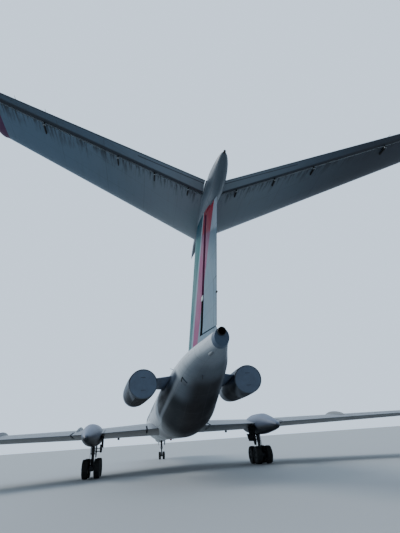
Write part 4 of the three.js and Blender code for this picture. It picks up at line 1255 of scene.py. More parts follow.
def tab_outline(tree, guide):
    """1 on the front and top edges of the rudder's tab, as lines 2 cm wide."""
    station, slope, top = TAB
    ahead, behind = (side_of(tree, guide, (station + step, slope)) for step in (0.0, TAB_LINE))
    low, lower = (add(tree, "MapRange", [guide["Y"], z, z - 0.01]) for z in (top + TAB_LINE, top))
    corner = add(tree, "Math", [ahead, low], operation="MULTIPLY")
    inside = add(tree, "Math", [behind, lower], operation="MULTIPLY")
    return add(tree, "Math", [corner, inside], operation="SUBTRACT")


def fin_paint():
    """Teal, white and red bands, deep above a sloping line and chalky below."""
    material, tree = new_material("faded_enamel_bands")
    place = add(tree, "TexCoord", out="Object")
    skin = add(tree, "Attribute", out="Vector", attribute_name="skin")
    guide = add(tree, "SeparateXYZ", {"Vector": skin}).node.outputs
    z_start, z_slope, s_start = DEEP_EDGE
    offset = z_start + z_slope * s_start
    edge = add(tree, "Math", [guide["X"], -z_slope, offset], operation="MULTIPLY_ADD")
    above = add(tree, "Math", [guide["Y"], edge], operation="SUBTRACT")
    deep_above = add(tree, "MapRange", [above, -0.06, 0.06])
    shades = []
    for k in (0, 1):
        shown = colour(TEAL[k])
        for line, *codes in STRIPES:
            shown = coat(tree, shown, codes[k], 1.0, side_of(tree, guide, line))
        shades.append(coat(tree, shown, RUDDER_WHITE[k], 1.0, side_of(tree, guide, RED_END)))
    shown = coat(tree, shades[1], shades[0], 1.0, deep_above)
    shown = coat(tree, shown, "#8f9a9c", 0.3, patches(tree, place, (0.8, 0.8, 0.5), 0.4, 0.7))
    shown = coat(tree, shown, "#5d6468", 0.28, patches(tree, place, (5.0, 5.0, 0.45), 0.5, 0.72))
    seams = seam_lines(tree, skin, (1.2, 0.75), SEAM_WIDTH)
    shown = coat(tree, shown, "#4d5052", 0.3, seams)
    shown = coat(tree, shown, "#2f383e", 0.6, tab_outline(tree, guide))
    surface(tree, Base_Color=shown, Roughness=0.75, Specular_IOR_Level=0.25, Normal=seam_bump(tree, seams))
    return material


band_paint = fin_paint()
shroud_red = plain("deep_red_primer", "#641c4a", 0.6, dirt=0.5, scale=3.0, dirt_code="#2c1426")

# %% [markdown]
# The rudder's bay could be cut out of the fin. Instead the fin is three lengths: below the bay, ahead of
# it and above it. Their rings stay even.

# %% Fin and rudder pieces
fin_lengths = joined(
    fin_length(FOOT_LINE, BAY_FLOOR),
    fin_length(BAY_FLOOR, BAY_ROOF, last=bay_share(), rows=14),
    fin_length(BAY_ROOF, TOP_LINE, rows=3),
)


def bay_wall(low, high):
    """A thin strip that closes the bay's front, between the two skins."""
    climb = np.linspace(low, high, 8)[:, None]
    station, z, half = fin_place(BAY_FLOOR, BAY_ROOF, climb, np.array([bay_share()]))
    grid = at(half * np.array([[-0.97, -0.3, 0.3, 0.97]]), station + 0.004, z)
    return plate(grid, grid + [0, 0.006, 0])


bay_front = [(bay_wall(0.31, 0.998), shroud_red), (bay_wall(0.002, 0.31), soot_and_shade_black)]
piece("fin_skin", [(fin_lengths, band_paint), *bay_front], stands_for=["fin"])
piece("rudder_skin", [(rudder_part(), band_paint)], "rudder", ["rudder"])

# %% [markdown]
# A long pointed fairing covers the joint of fin and tail plane and ends in a short spike. It isn't round,
# so each ring is an ellipse with its own width, top and bottom.

# %% Bullet fairing
BULLET = np.array([
    [28.66, 0.003, 8.858, 8.852], [28.90, 0.030, 8.880, 8.826], [29.40, 0.074, 8.915, 8.778],
    [29.85, 0.104, 8.940, 8.748], [30.30, 0.130, 8.965, 8.728], [30.80, 0.176, 9.010, 8.705],
    [31.30, 0.225, 9.055, 8.665], [32.20, 0.262, 9.100, 8.580], [33.00, 0.268, 9.120, 8.481],
    [33.70, 0.268, 9.145, 8.370], [34.30, 0.268, 9.140, 8.275], [34.80, 0.236, 9.045, 8.330],
    [35.20, 0.185, 8.930, 8.460], [35.45, 0.118, 8.860, 8.615], [35.56, 0.055, 8.815, 8.715],
    [35.595, 0.008, 8.780, 8.765]])
BULLET_TIP = 8.772
SPIKE = ((35.50, 0.048), (35.59, 0.042), (35.65, 0.030), (35.67, 0.008))


def oval_spindle(rows, count=64, sides=56):
    """Rings through rows of [station, half width, top, bottom] on monotone cubics, close together near
    both ends. A ring is an ellipse about the middle of its top and bottom."""
    spread = rows[0, 0] + (rows[-1, 0] - rows[0, 0]) * crowded(count)
    stations = np.unique(np.concatenate([spread, rows[:, 0]]))[:, None]
    width, top, bottom = (curve_through(rows[:, 0], rows[:, i], stations) for i in (1, 2, 3))
    angle = full_turn(sides)
    rings = at(width * np.cos(angle), stations, (top + bottom) / 2 + (top - bottom) / 2 * np.sin(angle))
    return lofted(rings, bundled(stations, 0.3 * angle))


def bullet_paint():
    """Grey enamel, oily towards the rear, with painted shade low down and at its front."""
    material, tree = new_material("grey_enamel_fairing")
    place = add(tree, "TexCoord", out="Object")
    skin = add(tree, "Attribute", out="Vector", attribute_name="skin")
    shown = coat(tree, colour("#9aa6b0"), "#5d6b78", 0.5, patches(tree, place, (1.2, 0.8, 1.2), 0.4, 0.7))
    shown = coat(tree, shown, "#1c2733", 0.8, aft(tree, place, 33.3, 35.0))
    # Painted shade: darker low down, and ahead of station 30.9
    shown = coat(tree, shown, "#3b4a55", 0.6, fade(tree, place, 2, 8.90, 8.66))
    shown = coat(tree, shown, "#2b3544", 0.8, aft(tree, place, 30.9, 30.0))
    seams = seam_lines(tree, skin, (1.15, 0.6), SEAM_WIDTH)
    shown = coat(tree, shown, "#3b4147", 0.5, seams)
    surface(tree, Base_Color=shown, Roughness=0.42, Normal=seam_bump(tree, seams))
    return material


fairing_paint = bullet_paint()
bullet = oval_spindle(BULLET)
rear_spike = turned(SPIKE, at(0, 0, BULLET_TIP), sides=16)
fairing = [(bullet, fairing_paint), (rear_spike, burnt_steel)]
piece("bullet_skin", fairing, stands_for=["tail_bullet"])

# %% [markdown]
# ## Engines
#
# Each engine hangs on a short wing, a little nose out and nose up. Everything round is made about one
# axis and then turned and moved as a whole: first up, then outwards, then to the nozzle's place.

# %% Placing parts on an engine
NOZZLE = {"x": 2.14, "station": 28.10, "z": 3.62}
NOZZLE_TURN = (math.radians(4.3), math.radians(1.4))


def on_engine(part):
    """Moves a part from the axis y, with the nozzle at y = 0, to the starboard engine."""
    toe, pitch = NOZZLE_TURN
    turn = np.array(Matrix.Rotation(-toe, 3, "Z") @ Matrix.Rotation(pitch, 3, "X"))
    points, quads, tris, guide = part
    return points @ turn.T + at(NOZZLE["x"], NOZZLE["station"], NOZZLE["z"]), quads, tris, guide


def engine_round(rows, sides=72, wrap_rows=False):
    """A turned part from rows of [station, radius]; the distance runs aft from the nozzle."""
    moved = [[s - NOZZLE["station"], r] for s, r in rows]
    return on_engine(turned(moved, (0, 0, 0), sides=sides, wrap_rows=wrap_rows))


# %% [markdown]
# A nacelle is the shell around an engine. Its profile is turned about the engine's axis and runs back
# inside through the duct, which gives it a thickness. The lip has a profile of its own, as it is bare
# metal. A sheet metal blank with a rolled rim and two handles closes the nozzle.

# %% Nacelles
OUTER = [(22.75, 0.495), (22.80, 0.520), (23.25, 0.566), (24.20, 0.598), (25.70, 0.606),
         (26.90, 0.600), (27.70, 0.582), (28.10, 0.565)]
DUCT = 0.4553
THROAT = 0.4635
LIP_STATIONS = (22.75, 22.95)
COVER_DISC = ((28.101, 0.55), (28.120, 0.55), (28.124, 0.49), (28.124, 0.10), (28.124, 0.01))
COVER_RIM = ((28.100, 0.548), (28.100, 0.560), (28.122, 0.560), (28.128, 0.554), (28.128, 0.531),
             (28.118, 0.531))
DRUM = ((23.44, 0.01), (23.44, 0.05), (23.76, 0.05), (23.76, 0.20), (23.80, 0.30), (23.80, 0.454),
        (27.6, 0.454), (27.6, 0.01))


def nacelle_shell():
    """The outer skin from behind the lip to the nozzle, and back inside through the duct."""
    stations, radii = np.array(OUTER).T
    where = np.linspace(LIP_STATIONS[1], 28.10, 44)
    outside = list(zip(where, curve_through(stations, radii, where)))
    inside = [(28.10, 0.530), (27.65, DUCT), (25.0, DUCT), (23.15, DUCT), (22.95, THROAT)]
    return engine_round(outside + inside, wrap_rows=True)


def intake_lip():
    """The rolled metal lip: half an ellipse between the outer skin and the duct."""
    stations, radii = np.array(OUTER).T
    end = LIP_STATIONS[1]
    outer = float(curve_through(stations, radii, np.array([end]))[0])
    turn = np.linspace(0, np.pi, 15)
    middle, half = (outer + THROAT) / 2, (outer - THROAT) / 2
    rows = np.stack([end - (end - LIP_STATIONS[0]) * np.sin(turn), middle + half * np.cos(turn)], axis=1)
    return engine_round(rows.tolist(), wrap_rows=True)


def cover_parts():
    """The nozzle's cover: its disc, its rim and both handles."""
    disc = engine_round(COVER_DISC)
    rim = engine_round(COVER_RIM, wrap_rows=True)
    handles = []
    for z in (-0.24, 0.24):
        path = bent([(-0.09, 0.0, z), (-0.08, -0.026, z), (0.08, -0.026, z), (0.09, 0.0, z)], steps=5)
        handles.append(on_engine(pipe(path, 0.007, sides=8)))
    return disc, rim, joined(*handles)


def engine_face():
    """What is seen of the engine past the fan: a drum with a stepped face."""
    return engine_round(DRUM)


# %% [markdown]
# The fan turns behind the intake. A modifier could twist a flat blade; a formula that turns its chord
# with the radius needs no second step.

# %% The fan
FAN = {"tip": 0.445, "hub": 0.165, "front": 23.36, "back": 23.62, "nose": 23.06, "blades": 22}


def fan_blades():
    """Every blade is a curved plate. Its chord turns with the radius, as on a screw, so that all of it
    meets the air at one angle; all blades are copies turned about the axis."""
    radius = np.linspace(FAN["hub"] - 0.01, FAN["tip"], 8)[:, None]
    along = np.linspace(-1, 1, 7)[None, :]
    lean = np.interp(radius, [FAN["hub"], FAN["tip"]], [0.45, 1.0])
    chord = 0.118
    middle = (FAN["front"] + FAN["back"]) / 2 - NOZZLE["station"]
    across = along * chord * np.sin(lean) + 0.012 * (1 - along**2)
    forward = along * chord * np.cos(lean)
    thick = 0.006 * (1 - 0.7 * np.abs(along))
    parts = []
    for angle in full_turn(FAN["blades"]):
        faces = []
        for side in (1, -1):
            sideways = across + side * thick
            x = radius * np.cos(angle) - sideways * np.sin(angle)
            z = radius * np.sin(angle) + sideways * np.cos(angle)
            faces.append(bundled(x, -(middle + forward), z))
        parts.append(on_engine(plate(*faces)))
    return joined(*parts)


def fan_hub():
    """A rounded spinner on a drum, hollow behind for the shaft."""
    turn = np.linspace(0.02, np.pi / 2, 12)
    front, back, hub = FAN["front"], FAN["back"], FAN["hub"]
    nose = [(front - (front - FAN["nose"]) * math.cos(t), hub * math.sin(t)) for t in turn]
    rear = [(back, hub), (back, 0.052), (23.432, 0.052), (23.432, 0.002)]
    return engine_round(nose + rear, sides=40)


# %% [markdown]
# The pylon that carries an engine is a short, thick wing, so the wings' function makes it. Both its ends
# are hidden and need no fillet.

# %% Pylons
PYLON = np.array([[0.70, 23.70, 5.20, 3.96, 3.79, 0.33], [2.149, 24.30, 2.98, 3.95, 3.87, 0.27],
                  [2.15, 24.30, 2.98, 3.95, 3.87, 0.27]])


def pylon_part():
    """The short wing between body and nacelle; its inner end is inside the body."""
    return wing_part(PYLON, np.linspace(0.9, 2.02, 9))


# %% [markdown]
# The port nacelle has lost the panels under its rear half. The hole is dark with shade, and stringers
# cross it. It could be cut out of the shell; from afar a dark sheet close over the skin, painted shade,
# looks the same.

# %% The open panel
def nacelle_patch(first, last, low, high, out, depth, rows=10, columns=16):
    """A plate on the nacelle between two stations and two angles in degrees."""
    stations, radii = np.array(OUTER).T
    where = np.linspace(first, last, rows)
    radius = curve_through(stations, radii, where)[:, None]
    angle = np.radians(np.linspace(low, high, columns))
    faces = []
    for o in (out, out - depth):
        x, z = (radius + o) * np.cos(angle), (radius + o) * np.sin(angle)
        faces.append(bundled(x, NOZZLE["station"] - where[:, None], z))
    return on_engine(plate(*faces))


# A dark sheet over the hole: painted shade
open_panel = nacelle_patch(25.0, 27.94, -112, -60, 0.0015, 0.012)
stringers = joined(*(nacelle_patch(station, station + 0.03, -111, -61, 0.003, 0.012, rows=3)
                     for station in (25.7, 26.4, 27.1, 27.5)))
rims = [nacelle_patch(*ends, -114, -58, 0.005, 0.015, rows=3)
        for ends in ((24.97, 25.00), (27.94, 27.97))]
rims += [nacelle_patch(25.0, 27.94, *arc, 0.005, 0.015, columns=3) for arc in ((-114, -112), (-60, -58))]

# Satin enamel, darker than its real grey as painted shade, with the body's coats of dirt and painted
# shade: hardly a highlight
nacelle_paint = body_paint("satin_enamel_on_nacelle", "#464e5a", shade_and_grime_code="#12161c")
pylon_paint = plain("sooted_enamel_on_pylon", "#5b6d88", 0.5, dirt=0.6, scale=1.5, dirt_code="#28364a")


def rim_paint():
    """Grey enamel with painted shade on its upper half, where the rim's inner face is in shadow."""
    material, tree = new_material("enamel_with_painted_shade_on_cover_rim")
    place = add(tree, "TexCoord", out="Object")
    upper = fade(tree, place, 2, NOZZLE["z"] - 0.2, NOZZLE["z"] + 0.15)
    # Painted shade on the upper half
    shown = coat(tree, colour("#56616c"), "#14171b", 0.95, upper)
    surface(tree, Base_Color=shown, Roughness=0.7)
    return material


rim_enamel = rim_paint()
disc, cover_rim, handles = cover_parts()
shell = [(nacelle_shell(), nacelle_paint), (intake_lip(), bare_metal)]
opened = shell + [(open_panel, soot_and_shade_black), (stringers, burnt_steel), (joined(*rims), nacelle_paint)]
cover = [(disc, cover_paint), (cover_rim, rim_enamel), (handles, gear_paint)]
piece("nacelle_skin_right", shell, stands_for=["nacelle_right"])
piece("nacelle_skin_left", sided(opened, -1), stands_for=["nacelle_left"])
pair("engine_face", [(engine_face(), burnt_steel)], stands_for="engine")
pair("fan_blades", [(fan_blades(), burnt_steel), (fan_hub(), gear_paint)], "fan", "fan")
pair("nozzle_cover", cover, stands_for="exhaust_cover")
pair("pylon_skin", [(pylon_part(), pylon_paint)], stands_for="pylon")

# %% [markdown]
# ## Gear pods
#
# The main gear folds back into pods that stand out behind the wing. A pod is a chain of ellipses with a
# pocket for the leg below. Its rings are worked out about its own middle line and moved out to the gear.

# %% Pods
GEAR_X = 4.72
POD = np.array([[17.15, 0.02, 0.015, 2.010], [17.28, 0.12, 0.10, 2.012], [17.70, 0.25, 0.23, 2.020],
                [18.70, 0.44, 0.43, 2.050], [20.00, 0.515, 0.565, 2.070], [21.30, 0.49, 0.55, 2.060],
                [22.40, 0.385, 0.415, 2.005], [23.30, 0.235, 0.25, 1.935], [23.75, 0.12, 0.13, 1.895],
                [23.86, 0.03, 0.03, 1.885]])


def pod_skin(station, angle):
    """A point of the skin, as for the body."""
    station, angle = np.broadcast_arrays(station, angle)
    width, half, middle = (curve_through(POD[:, 0], POD[:, i], station) for i in (1, 2, 3))
    return at(width * np.cos(angle), station, middle + half * np.sin(angle))


def pod_part():
    """The pod with its wheel bay; its rings stand closer together at both ends."""
    spread = crowded(56)
    rings, stations, angle = with_bay(POD[0, 0] + (POD[-1, 0] - POD[0, 0]) * spread, POD_BAY, pod_skin)
    guide = bundled(stations, angle * 0.5)
    return lofted(rings + [GEAR_X, 0, 0], guide)


def pod_paint():
    """Blue-grey enamel above, with painted shade on faces turned from the sky; black below with oil, brake
    dust and painted shade: the pod's lower half drops away from the sky as one dark shape."""
    material, tree = new_material("dirty_enamel_with_painted_shade_on_pod")
    place, skin, normal = readings(tree)
    worn = patches(tree, place, (1.5, 0.6, 1.5), 0.4, 0.7)
    shown = coat(tree, colour("#5c6880"), "#4c5668", 0.4, worn)
    # Painted shade on faces turned from the sky, then black low down: oil, dust and painted shade
    shown = coat(tree, shown, "#343d4e", 0.7, fade(tree, normal, 2, 0.85, 0.1))
    shown = coat(tree, shown, "#111418", 0.92, fade(tree, place, 2, 2.04, 1.84))
    seams = seam_lines(tree, skin, (1.3, 0.52), SEAM_WIDTH)
    shown = coat(tree, shown, "#3e4146", 0.5, seams)
    surface(tree, Base_Color=shown, Roughness=0.45, Normal=seam_bump(tree, seams))
    return material


pair("pod_skin", [(pod_part(), pod_paint())], stands_for="gear_pod")

# %% [markdown]
# ## Wheels
#
# Two wheels share one axle and turn as one. A tyre's section is a bulging wall up to a nearly flat tread
# with grooves that let water out. It is turned from one row of points, as a real tyre is moulded.

# %% Tyres
MAIN_WHEEL = {"radius": 0.465, "width": 0.305, "centre": 0.300, "rim": 0.245, "axle": 0.060}
NOSE_WHEEL = {"radius": 0.330, "width": 0.200, "centre": 0.185, "rim": 0.170, "axle": 0.042}
WALL = np.array([[0.62, -0.05], [0.82, 0.0], [0.90, 0.10], [0.96, 0.25], [1.0, 0.46], [0.99, 0.62],
                 [0.95, 0.78], [0.88, 0.89], [0.82, 0.94]])
GROOVES = np.array([-0.54, -0.18, 0.18, 0.54])
GROOVE_HALF = 0.030
GROOVE_DEPTH = 0.009


def tyre_rows(radius, width, rim):
    """Along and radius of the section. The walls are shares of the half width and of the way from rim
    to tread; the tread falls off with the square of the distance from its middle."""
    edges = np.add.outer(GROOVES, np.array([-1.2, -1.0, 1.0, 1.2]) * GROOVE_HALF).ravel()
    tread = np.sort(np.concatenate([edges, [-0.72, -0.36, 0.0, 0.36, 0.72]]))
    sunk = np.abs(tread[:, None] - GROOVES).min(axis=1) < 1.1 * GROOVE_HALF
    tall = radius - rim
    top = radius - 0.06 * tall * (tread / 0.82) ** 2 - GROOVE_DEPTH * sunk
    wall = WALL * [width / 2, tall] + [0, rim]
    return np.vstack([wall * [-1, 1], np.column_stack([tread * width / 2, top]), wall[::-1]])


# %% [markdown]
# A forged alloy wheel is turned from one profile too, with a flange on each side that holds the tyre and
# a well on the outer face. A turned shape can't hold the bolts around the well; they are added as rods.

# %% Wheels and axles
DISC = np.array([[-0.86, 0.2], [-0.86, 0.97], [-0.84, 1.03], [-0.78, 1.05], [-0.72, 1.01], [0.72, 1.01],
                 [0.78, 1.05], [0.84, 1.03], [0.86, 0.97], [0.80, 0.92], [0.42, 0.85], [0.34, 0.77],
                 [0.36, 0.50], [0.48, 0.46], [0.50, 0.36], [0.72, 0.33], [0.76, 0.28], [0.76, 0.02]])
BOLTS = 10


def wheel_pair(name, body_name, size, middle, stands_for):
    """Both wheels, their bolts and the axle, at their place."""
    centre, half, rim = size["centre"], size["width"] / 2, size["rim"]
    tyre = turned(tyre_rows(size["radius"], size["width"], rim) + [centre, 0], (0, 0, 0), "x", 72)
    disc = turned(DISC * [half, rim] + [centre, 0], (0, 0, 0), "x", 48)
    circle = full_turn(BOLTS)
    seats = 0.64 * rim * np.column_stack([np.zeros(BOLTS), np.cos(circle), np.sin(circle)])
    low, high = [centre + 0.30 * half, 0, 0], [centre + 0.42 * half, 0, 0]
    wheel = joined(disc, *(rod(seat + low, seat + high, 0.05 * rim, 6, 0.002) for seat in seats))
    axle = rod((-centre, 0, 0), (centre, 0, 0), size["axle"], 28)
    metal = joined(wheel, mirrored(wheel), axle)
    parts = [(tyre, tyre_rubber), (mirrored(tyre), tyre_rubber), (metal, gear_paint)]
    moved = [((part[0] + middle, *part[1:]), material) for part, material in parts]
    piece(name, moved, body_name, [stands_for])


GEAR_STATION = 20.14
BOGIE_HALF_BASE = 0.53
for side, sign in SIDES:
    for row, way in (("front", -1), ("rear", 1)):
        axle_middle = at(sign * GEAR_X, GEAR_STATION + way * BOGIE_HALF_BASE, MAIN_WHEEL["radius"])
        label = f"wheels_{row}_{side}"
        wheel_pair(f"tyres_{row}_{side}", label, MAIN_WHEEL, axle_middle, f"main_{label}")

# %% [markdown]
# ## Main legs
#
# Each bogie's beam has an eye at both axles. On it stands the leg: a polished tube in a fat cylinder,
# with a trunnion in the pod's roof, a brace to the front and torque links behind.

# %% Bogies and legs
BEAM_Z = 0.465
EYE = 0.125


def gear_at(x, station, z):
    """A point beside the middle of the starboard gear."""
    return at(GEAR_X + x, GEAR_STATION + station, z)


def cross_pin(place, half, station, z, radius, sides=20):
    """A rod across a gear's middle plane, from one side to the other; place is gear_at or nose_at."""
    return rod(place(-half, station, z), place(half, station, z), radius, sides)


def eye(centre, half, radius, hole):
    """A ring about an axle that runs along x, with small chamfers."""
    rows = [(-half, hole), (-half, radius - 0.008), (-half + 0.008, radius), (half - 0.008, radius),
            (half, radius - 0.008), (half, hole)]
    return turned(rows, centre, "x", 48, wrap_rows=True)


def bogie_part():
    """The beam between the eyes: rounded boxes that widen to the leg's seat, with brake rods beside."""
    along = np.linspace(-BOGIE_HALF_BASE + 0.07, BOGIE_HALF_BASE - 0.07, 31)[:, None]
    seat = np.exp(-(along / 0.15) ** 6)
    turn = full_turn(32)
    across, up = (np.sign(f) * np.abs(f) ** 0.35 for f in (np.cos(turn), np.sin(turn)))
    width, depth = 0.070 + 0.024 * seat, 0.074 + 0.010 * seat
    beam = lofted(gear_at(width * across, along, BEAM_Z + 0.01 * seat + depth * up))
    eyes = [eye(gear_at(0, way * BOGIE_HALF_BASE, BEAM_Z), 0.095, EYE, 0.063) for way in (-1, 1)]
    brakes = [rod(gear_at(x, -0.40, 0.36), gear_at(x, 0.40, 0.36), 0.013) for x in (-0.075, 0.075)]
    return joined(beam, *eyes, *brakes)


def foot_part():
    """The foot on the beam, with the pivot's pin through it."""
    block = box(gear_at(-0.105, 0.135, 0.563), gear_at(0.105, -0.135, 0.655))
    pin = cross_pin(gear_at, 0.125, 0, 0.612, 0.036)
    return joined(block, pin)


def cylinder_part():
    """The outer cylinder: two thick rings, two bands and a closed top."""
    rows = [(1.12, 0.083), (1.12, 0.104), (1.13, 0.112), (1.20, 0.112), (1.21, 0.100), (1.30, 0.100),
            (1.305, 0.110), (1.33, 0.110), (1.335, 0.100), (1.46, 0.100), (1.465, 0.110), (1.49, 0.110),
            (1.495, 0.100), (1.64, 0.100), (1.65, 0.112), (1.778, 0.112), (1.778, 0.02)]
    return turned(rows, gear_at(0, 0, 0), "z", 40)


def link_part():
    """Trunnion, brace with its knee, and the two torque links with their elbow."""
    elbow = gear_at(0, 0.33, 0.90)
    bars = [cross_pin(gear_at, 0.25, 0, 1.70, 0.058, 28),
            rod(gear_at(0, -0.02, 1.28), gear_at(0, -0.38, 1.72), 0.040),
            cross_pin(gear_at, 0.06, -0.20, 1.50, 0.050),
            cross_pin(gear_at, 0.055, 0.33, 0.90, 0.029)]
    for z in (0.67, 1.16):
        bars.append(cross_pin(gear_at, 0.065, 0.095, z, 0.026))
        bars += [rod(gear_at(x, 0.09, z), elbow + [0.5 * x, 0, 0], 0.016) for x in (-0.05, 0.05)]
    post = box(gear_at(-0.055, -0.31, 1.662), gear_at(0.055, -0.42, 1.778))
    return joined(*bars, post)


def hose_part():
    """Brake hoses down the leg to both axles, hanging free between their clips."""
    hoses = []
    for x, way in ((-0.118, -1), (0.118, 1)):
        knots = [(x, 0.02, 1.60), (1.08 * x, 0.03, 1.25), (1.15 * x, 0.12, 0.92), (x, 0.20, 0.72),
                 (0.72 * x, 0.32, 0.60), (0.62 * x, 0.43, 0.575)]
        hoses.append(pipe(bent([gear_at(kx, way * ky, kz) for kx, ky, kz in knots], 8), 0.011, 10))
    return joined(*hoses)


oleo_rows = [(0.64, 0.02), (0.64, 0.090), (0.665, 0.092), (0.70, 0.078), (1.23, 0.078), (1.23, 0.02)]
oleo = turned(oleo_rows, gear_at(0, 0, 0), "z", 40)
leg = [(foot_part(), gear_paint), (cylinder_part(), gear_paint), (link_part(), gear_paint)]
leg += [(oleo, chrome), (hose_part(), tyre_rubber)]
pair("beam", [(bogie_part(), gear_paint)], stands_for="bogie")
pair("leg", leg, stands_for="main_leg")

# %% [markdown]
# ## Leg doors
#
# A leg's door is a slab that hangs beside it on two arms. Its inner face has pressed ribs, so that a thin
# sheet stays stiff, and a smaller plate sits on the leg itself. All of them are flat, so each is made from
# four corners and two planes.

# %% Leg doors
LEG_DOOR = np.array([[19.15, 1.60], [20.70, 1.60], [20.58, 1.19], [19.57, 1.19]])
DOOR_PLANE = GEAR_X - 0.400
DOOR_THICKNESS = 0.026
DOOR_ARMS = (1.26, 1.42)
LEG_PLATE = np.array([[19.30, 1.63], [20.12, 1.63], [20.12, 0.97], [19.74, 0.97]])


def slab(corners, low_x, high_x):
    """A plate with four corners of [station, z], between two planes across x."""
    u, v = np.meshgrid(np.linspace(0, 1, 12), np.linspace(0, 1, 5))
    u, v = u[..., None], v[..., None]
    a, b, c, d = corners
    spot = (1 - v) * ((1 - u) * a + u * b) + v * ((1 - u) * d + u * c)
    return plate(at(low_x, spot[..., 0], spot[..., 1]), at(high_x, spot[..., 0], spot[..., 1]))


def inner_ribs(corners, plane, thickness, count):
    """Upright ribs over the inner face, each a thin slab of its own."""
    a, b, c, d = corners
    edges = np.linspace(0.08, 0.92, count)
    half = 0.018
    ribs = []
    for share in edges:
        top = a + (b - a) * share
        foot = d + (c - d) * share
        top, foot = top + (foot - top) * 0.10, top + (foot - top) * 0.90
        rib = np.array([top - [half, 0], top + [half, 0], foot + [half, 0], foot - [half, 0]])
        ribs.append(slab(rib, plane, plane + thickness))
    return joined(*ribs)


# Enamel under brake dust, painted black as shade: the dust leaves no highlight
door_paint = plain("dusty_enamel_with_painted_shade_on_door", "#111418", 0.85, dirt=0.5, scale=5.0,
                   dirt_code="#08090b", Specular_IOR_Level=0.1)
door_arms = [rod(at(DOOR_PLANE - 0.004, GEAR_STATION, z), at(GEAR_X - 0.108, GEAR_STATION, z), 0.024)
             for z in DOOR_ARMS]
door_parts = [
    (slab(LEG_DOOR, DOOR_PLANE - DOOR_THICKNESS, DOOR_PLANE), door_paint),
    (inner_ribs(LEG_DOOR, DOOR_PLANE - 0.002, 0.012, 6), door_paint),
    (joined(*door_arms), gear_paint),
    (slab(LEG_PLATE, GEAR_X - 0.160, GEAR_X - 0.146), door_paint),
]
pair("door_by_leg", door_parts, stands_for="leg_door")

# %% [markdown]
# ## Nose gear
#
# A fixed leg with a brace stands in the nose bay. Below its collar the piston turns with the steering,
# and the axle runs through an eye at its foot. The towing lug is at the front.

# %% Nose gear
NOSE_STATION = 4.10
NOSE_AXLE_Z = 0.330


def nose_at(x, station, z):
    """A point beside the nose gear's middle."""
    return at(x, NOSE_STATION + station, z)


nose_rows = [(0.982, 0.060), (0.982, 0.108), (0.99, 0.114), (1.06, 0.114), (1.07, 0.106), (1.085, 0.085),
             (1.40, 0.085), (1.405, 0.094), (1.43, 0.094), (1.435, 0.085), (1.966, 0.085), (1.966, 0.02)]
nose_leg_parts = joined(
    turned(nose_rows, nose_at(0, 0, 0), "z", 40),
    cross_pin(nose_at, 0.238, 0, 1.78, 0.046, 28),
    rod(nose_at(0, -0.02, 1.26), nose_at(0, -0.56, 1.90), 0.034),
    cross_pin(nose_at, 0.05, -0.29, 1.58, 0.042),
    box(nose_at(-0.05, -0.50, 1.862), nose_at(0.05, -0.61, 1.966)))
lamp_rows = [(0, 0.02), (0, 0.066), (-0.05, 0.074), (-0.06, 0.070), (-0.055, 0.02)]
lamp = turned(lamp_rows, nose_at(0, -0.135, 1.17), sides=32)
pane_rows = [(-0.056, 0.001), (-0.053, 0.066), (-0.060, 0.066), (-0.064, 0.04), (-0.066, 0.001)]
lamp_glass = turned(pane_rows, nose_at(0, -0.135, 1.17), sides=32)
lamp_arm = rod(nose_at(0, -0.14, 1.17), nose_at(0, -0.06, 1.17), 0.018)
nose_leg = [(joined(nose_leg_parts, lamp_arm), gear_paint), (lamp, bare_metal), (lamp_glass, glass)]
piece("leg_at_nose", nose_leg, stands_for=["nose_leg"])

steer_rows = [(0.885, 0.03), (0.885, 0.098), (0.893, 0.105), (0.966, 0.105), (0.974, 0.098), (0.974, 0.03)]
elbow = nose_at(0, 0.24, 0.66)
steer_links = []
for station, z in ((0.05, 0.43), (0.09, 0.93)):
    steer_links += [rod(nose_at(x, station, z), elbow + [0.5 * x, 0, 0], 0.012) for x in (-0.035, 0.035)]
tow_lug = joined(box(nose_at(-0.045, 0, 0.402), nose_at(0.045, -0.15, 0.468)),
                 cross_pin(nose_at, 0.045, -0.155, 0.435, 0.033))
collar = turned(steer_rows, nose_at(0, 0, 0), "z", 40)
axle_eye = eye(nose_at(0, 0, NOSE_AXLE_Z), 0.062, 0.088, 0.0445)
elbow_pin = cross_pin(nose_at, 0.035, 0.24, 0.66, 0.02)
piston = turned([(0.405, 0.01), (0.405, 0.058), (0.97, 0.058), (0.97, 0.01)], nose_at(0, 0, 0), "z", 36)
steered = [(joined(collar, axle_eye, tow_lug, elbow_pin, *steer_links), gear_paint), (piston, chrome)]
piece("steered_piston", steered, "nose_steering", ["nose_steering"])
wheel_pair("tyres_nose", "nose_wheels", NOSE_WHEEL, nose_at(0, 0, NOSE_AXLE_Z), "nose_wheels")

# %% [markdown]
# Two long doors hang open beside the nose bay. They are hinged to the skin, so the height of each upper
# corner is read from the body's own ring.

# %% Nose doors
NOSE_DOOR = np.array([[3.45, 1.86], [4.70, 1.86], [4.62, 1.21], [3.53, 1.21]])
NOSE_DOOR_X = (0.275, 0.299)


def under_body(corners, x, gap=0.006):
    """The corners with the upper two put just under the skin at a distance x from the middle."""
    lifted = corners.copy()
    for number in (0, 1):
        angles = np.linspace(-np.pi / 2, -0.2, 400)
        ring = body(corners[number, 0], angles)
        lifted[number, 1] = np.interp(x, ring[:, 0], ring[:, 2]) - gap
    return lifted


